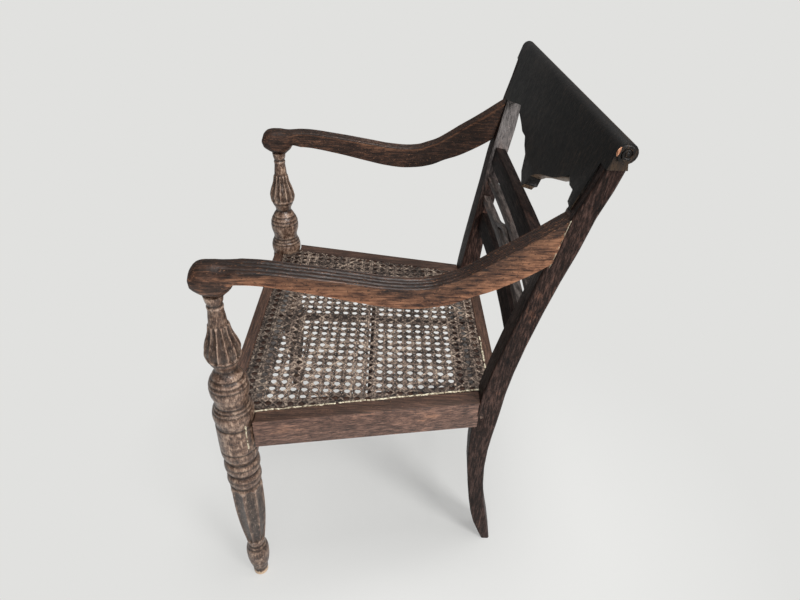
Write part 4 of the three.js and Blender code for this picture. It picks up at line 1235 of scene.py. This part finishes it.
def strand_sets():
    rng = random.Random(4)
    lengthwise, crosswise, slanted = [], [], []
    for order in range(-16, 16):
        for offset in (-PAIR_OFFSET, PAIR_OFFSET):
            start = np.array([(order + 0.5) * PITCH_X + offset + rng.uniform(-UNEVEN, UNEVEN), 0.0])
            lengthwise.append(strand(start, np.array([0.0, 1.0]), STRAND_WIDTH, LENGTHWISE_LIFT,
                                     order * PAIR_PHASE))
    for order in range(-1, 24):
        for offset in (-PAIR_OFFSET, PAIR_OFFSET):
            y = FIRST_HOLE_Y + (order + 0.5) * PITCH_Y + offset + rng.uniform(-UNEVEN, UNEVEN)
            crosswise.append(strand(np.array([0.0, y]), np.array([1.0, 0.0]), STRAND_WIDTH, CROSSWISE_LIFT,
                                    order * PAIR_PHASE))
    slant = np.array([PITCH_X, PITCH_Y]) / math.hypot(PITCH_X, PITCH_Y)
    for order in range(-42, 42):
        first = np.array([(order + 0.5) * PITCH_X, FIRST_HOLE_Y])
        for turn in (1, -1):
            slanted.append(strand(first, slant * [turn, 1], SLANT_WIDTH, SLANTED_LIFT, order * SLANT_PHASE))
    return lengthwise, crosswise, slanted


STRANDS = strand_sets()
print("strands each way:", [sum(1 for line in lines if line) for lines in STRANDS])

# %% [markdown]
# Cane keeps the hard skin of the rattan on its upper side. New it is pale and glossy, and here it is dull
# tan where it is rubbed and grey-brown where dirt has got in, darker still with painted shade on its sides
# and in its dips.

# %% Woven cane
CANE_DIRT_MM, CANE_FIBRE_MM = 34, 4.5    # real fibres are finer, and the picture doesn't show them
CANE_DIRT, CANE_FIBRE, CANE_TINT = 0.32, 0.68, 0.10
CANE_STOPS = [(0.38, "#17110F"), (0.46, "#56483F"), (0.53, "#957F71"), (0.62, "#DCC6B0")]


def aged_cane():
    # Split rattan, its skin left on and polished by use: a low sheen over fine lengthwise fibres.
    material, tree = new_material("aged_split_cane")
    place = add(tree, "TexCoord", output="Object")
    dirt = add(tree, "TexNoise", Vector=place, Scale=1 / (CANE_DIRT_MM * MM), Detail=5.0, Roughness=0.65)
    fibre = add(tree, "TexNoise", Vector=place, Scale=1 / (CANE_FIBRE_MM * MM), Detail=4.0, Roughness=0.7)
    tone = add(tree, "Math", fibre, CANE_FIBRE, operation="MULTIPLY")
    tone = add(tree, "Math", dirt, CANE_DIRT, tone, operation="MULTIPLY_ADD")
    tone = add(tree, "Math", tone, CANE_TINT / 2, operation="SUBTRACT")
    tint = add(tree, "Attribute", attribute_name="tint", output="Fac")
    tone = add(tree, "Math", tint, CANE_TINT, tone, operation="MULTIPLY_ADD")
    base = add(tree, "ValToRGB", tone, stops=CANE_STOPS)
    # Dirt and painted shade take the strands towards near black.
    grime_and_shade = add(tree, "Attribute", attribute_name="grime_and_shade", output="Fac")
    grime_and_shade = add(tree, "Math", grime_and_shade, GRIME_AND_SHADE_SHARE, operation="MULTIPLY")
    base = add(tree, "Mix", grime_and_shade, base, colour("#0E0A08"), data_type="RGBA")
    bump = add(tree, "Bump", Strength=0.4, Distance=0.5 * MM, Height=fibre)
    skin = add(tree, "BsdfPrincipled", Base_Color=base, Roughness=0.5, Normal=bump, IOR=1.5)
    add(tree, "OutputMaterial", Surface=skin)
    return material


CANE = aged_cane()
for name, lines in zip(("cane_lengthwise", "cane_crosswise", "cane_slanted"), STRANDS):
    piece = woven(name, lines)
    finish_piece(piece, CANE, "aged_cane", *(["cane_panel"] if name == "cane_lengthwise" else []))

# %% [markdown]
# Someone has mended the chair: a ragged cream line of filler runs along the edge of the cane and fills
# the joints of the near rail. It was pressed in by hand, so each line wanders, changes its width and
# breaks off now and then.

# %% A ragged line
BEAD_STEP, WANDER_KEEP, WANDER_MOST = 2.5, 0.75, 0.45
BEAD_HALF, BEAD_END, BEAD_HEIGHT, UPRIGHT = (0.28, 0.62), 0.4, 0.7, 0.7
BEAD = ((-1, -1), (1, -1), (0.8, 0.5), (0, 1), (-0.8, 0.5))


def ragged_line(start, end, seed, keep, width):
    rng = random.Random(seed)
    start, end = np.array(start, float), np.array(end, float)
    length = np.linalg.norm(end - start)
    way = (end - start) / length
    side = np.cross(way, (0.0, 0.0, 1.0)) if abs(way[2]) < UPRIGHT else np.array([0.0, 1.0, 0.0])
    side /= np.linalg.norm(side)
    up = np.cross(side, way)
    lines, rings, wander = [], [], 0.0
    for spot in np.arange(0.0, length, BEAD_STEP):
        wander = WANDER_KEEP * wander + rng.uniform(-WANDER_MOST, WANDER_MOST)
        if rng.random() > keep and len(rings) > 2:
            lines.append(rings)
            rings = []
            continue
        half = width * rng.uniform(*BEAD_HALF) * (BEAD_END if not rings else 1.0)
        middle = start + way * spot + side * wander
        rings.append([tuple(middle + side * s * half + up * t * BEAD_HEIGHT + np.array([0, POST_Y, 0]))
                      for s, t in BEAD])
    if len(rings) > 2:
        lines.append(rings)
    return lines


print("a bead of filler every", BEAD_STEP, "mm")

# %% [markdown]
# The filler is a chalky paste. Its places were found on the photograph, and it lies on the surface of the
# pieces that it joins.

# %% Filler in the joints
FILLER_DIRT_MM = 5
FILLER_STOPS = [(0.40, "#4A3D31"), (0.47, "#A99B82"), (0.58, "#E2D9C0")]
CANE_EDGE = 263.5
# Rows of [start, end, seed, share that is kept, width], y from the post's axis
FILLER = [
    ((CANE_EDGE + 1, 0.0, 440.0), (CANE_EDGE - 75.5, 408.0, 432.8), 6, 0.985, 3.6),
    ((252.0, -4.0, 440.2), (205.0, -4.0, 440.2), 9, 0.9, 2.4),
    ((170.0, 417.5, 432.8), (40.0, 417.5, 432.8), 17, 0.9, 3.4),
    ((290.4, 21.8, 386.0), (290.2, 21.8, 440.0), 12, 0.98, 3.0),
    ((210.6, 391.0, 385.0), (210.8, 391.0, 431.0), 14, 0.93, 2.0),
    ((273.2, 446.0, 730.0), (272.8, 460.9, 800.0), 21, 0.8, 1.0),
]


def filler_paste():
    # Chalky filler, pressed in by hand and left rough: cream, dry and dull, dirty in its hollows.
    material, tree = new_material("old_cream_filler")
    place = add(tree, "TexCoord", output="Object")
    dirt = add(tree, "TexNoise", Vector=place, Scale=1 / (FILLER_DIRT_MM * MM), Detail=5.0, Roughness=0.7)
    base = add(tree, "ValToRGB", dirt, stops=FILLER_STOPS)
    bump = add(tree, "Bump", Strength=0.6, Distance=0.6 * MM, Height=dirt)
    skin = add(tree, "BsdfPrincipled", Base_Color=base, Roughness=0.85, Normal=bump, IOR=1.45)
    add(tree, "OutputMaterial", Surface=skin)
    return material


filler = woven("joint_filler", [line for row in FILLER for line in ragged_line(*row)], 0.0)
finish_piece(filler, filler_paste(), "seat_rail_hardwood")
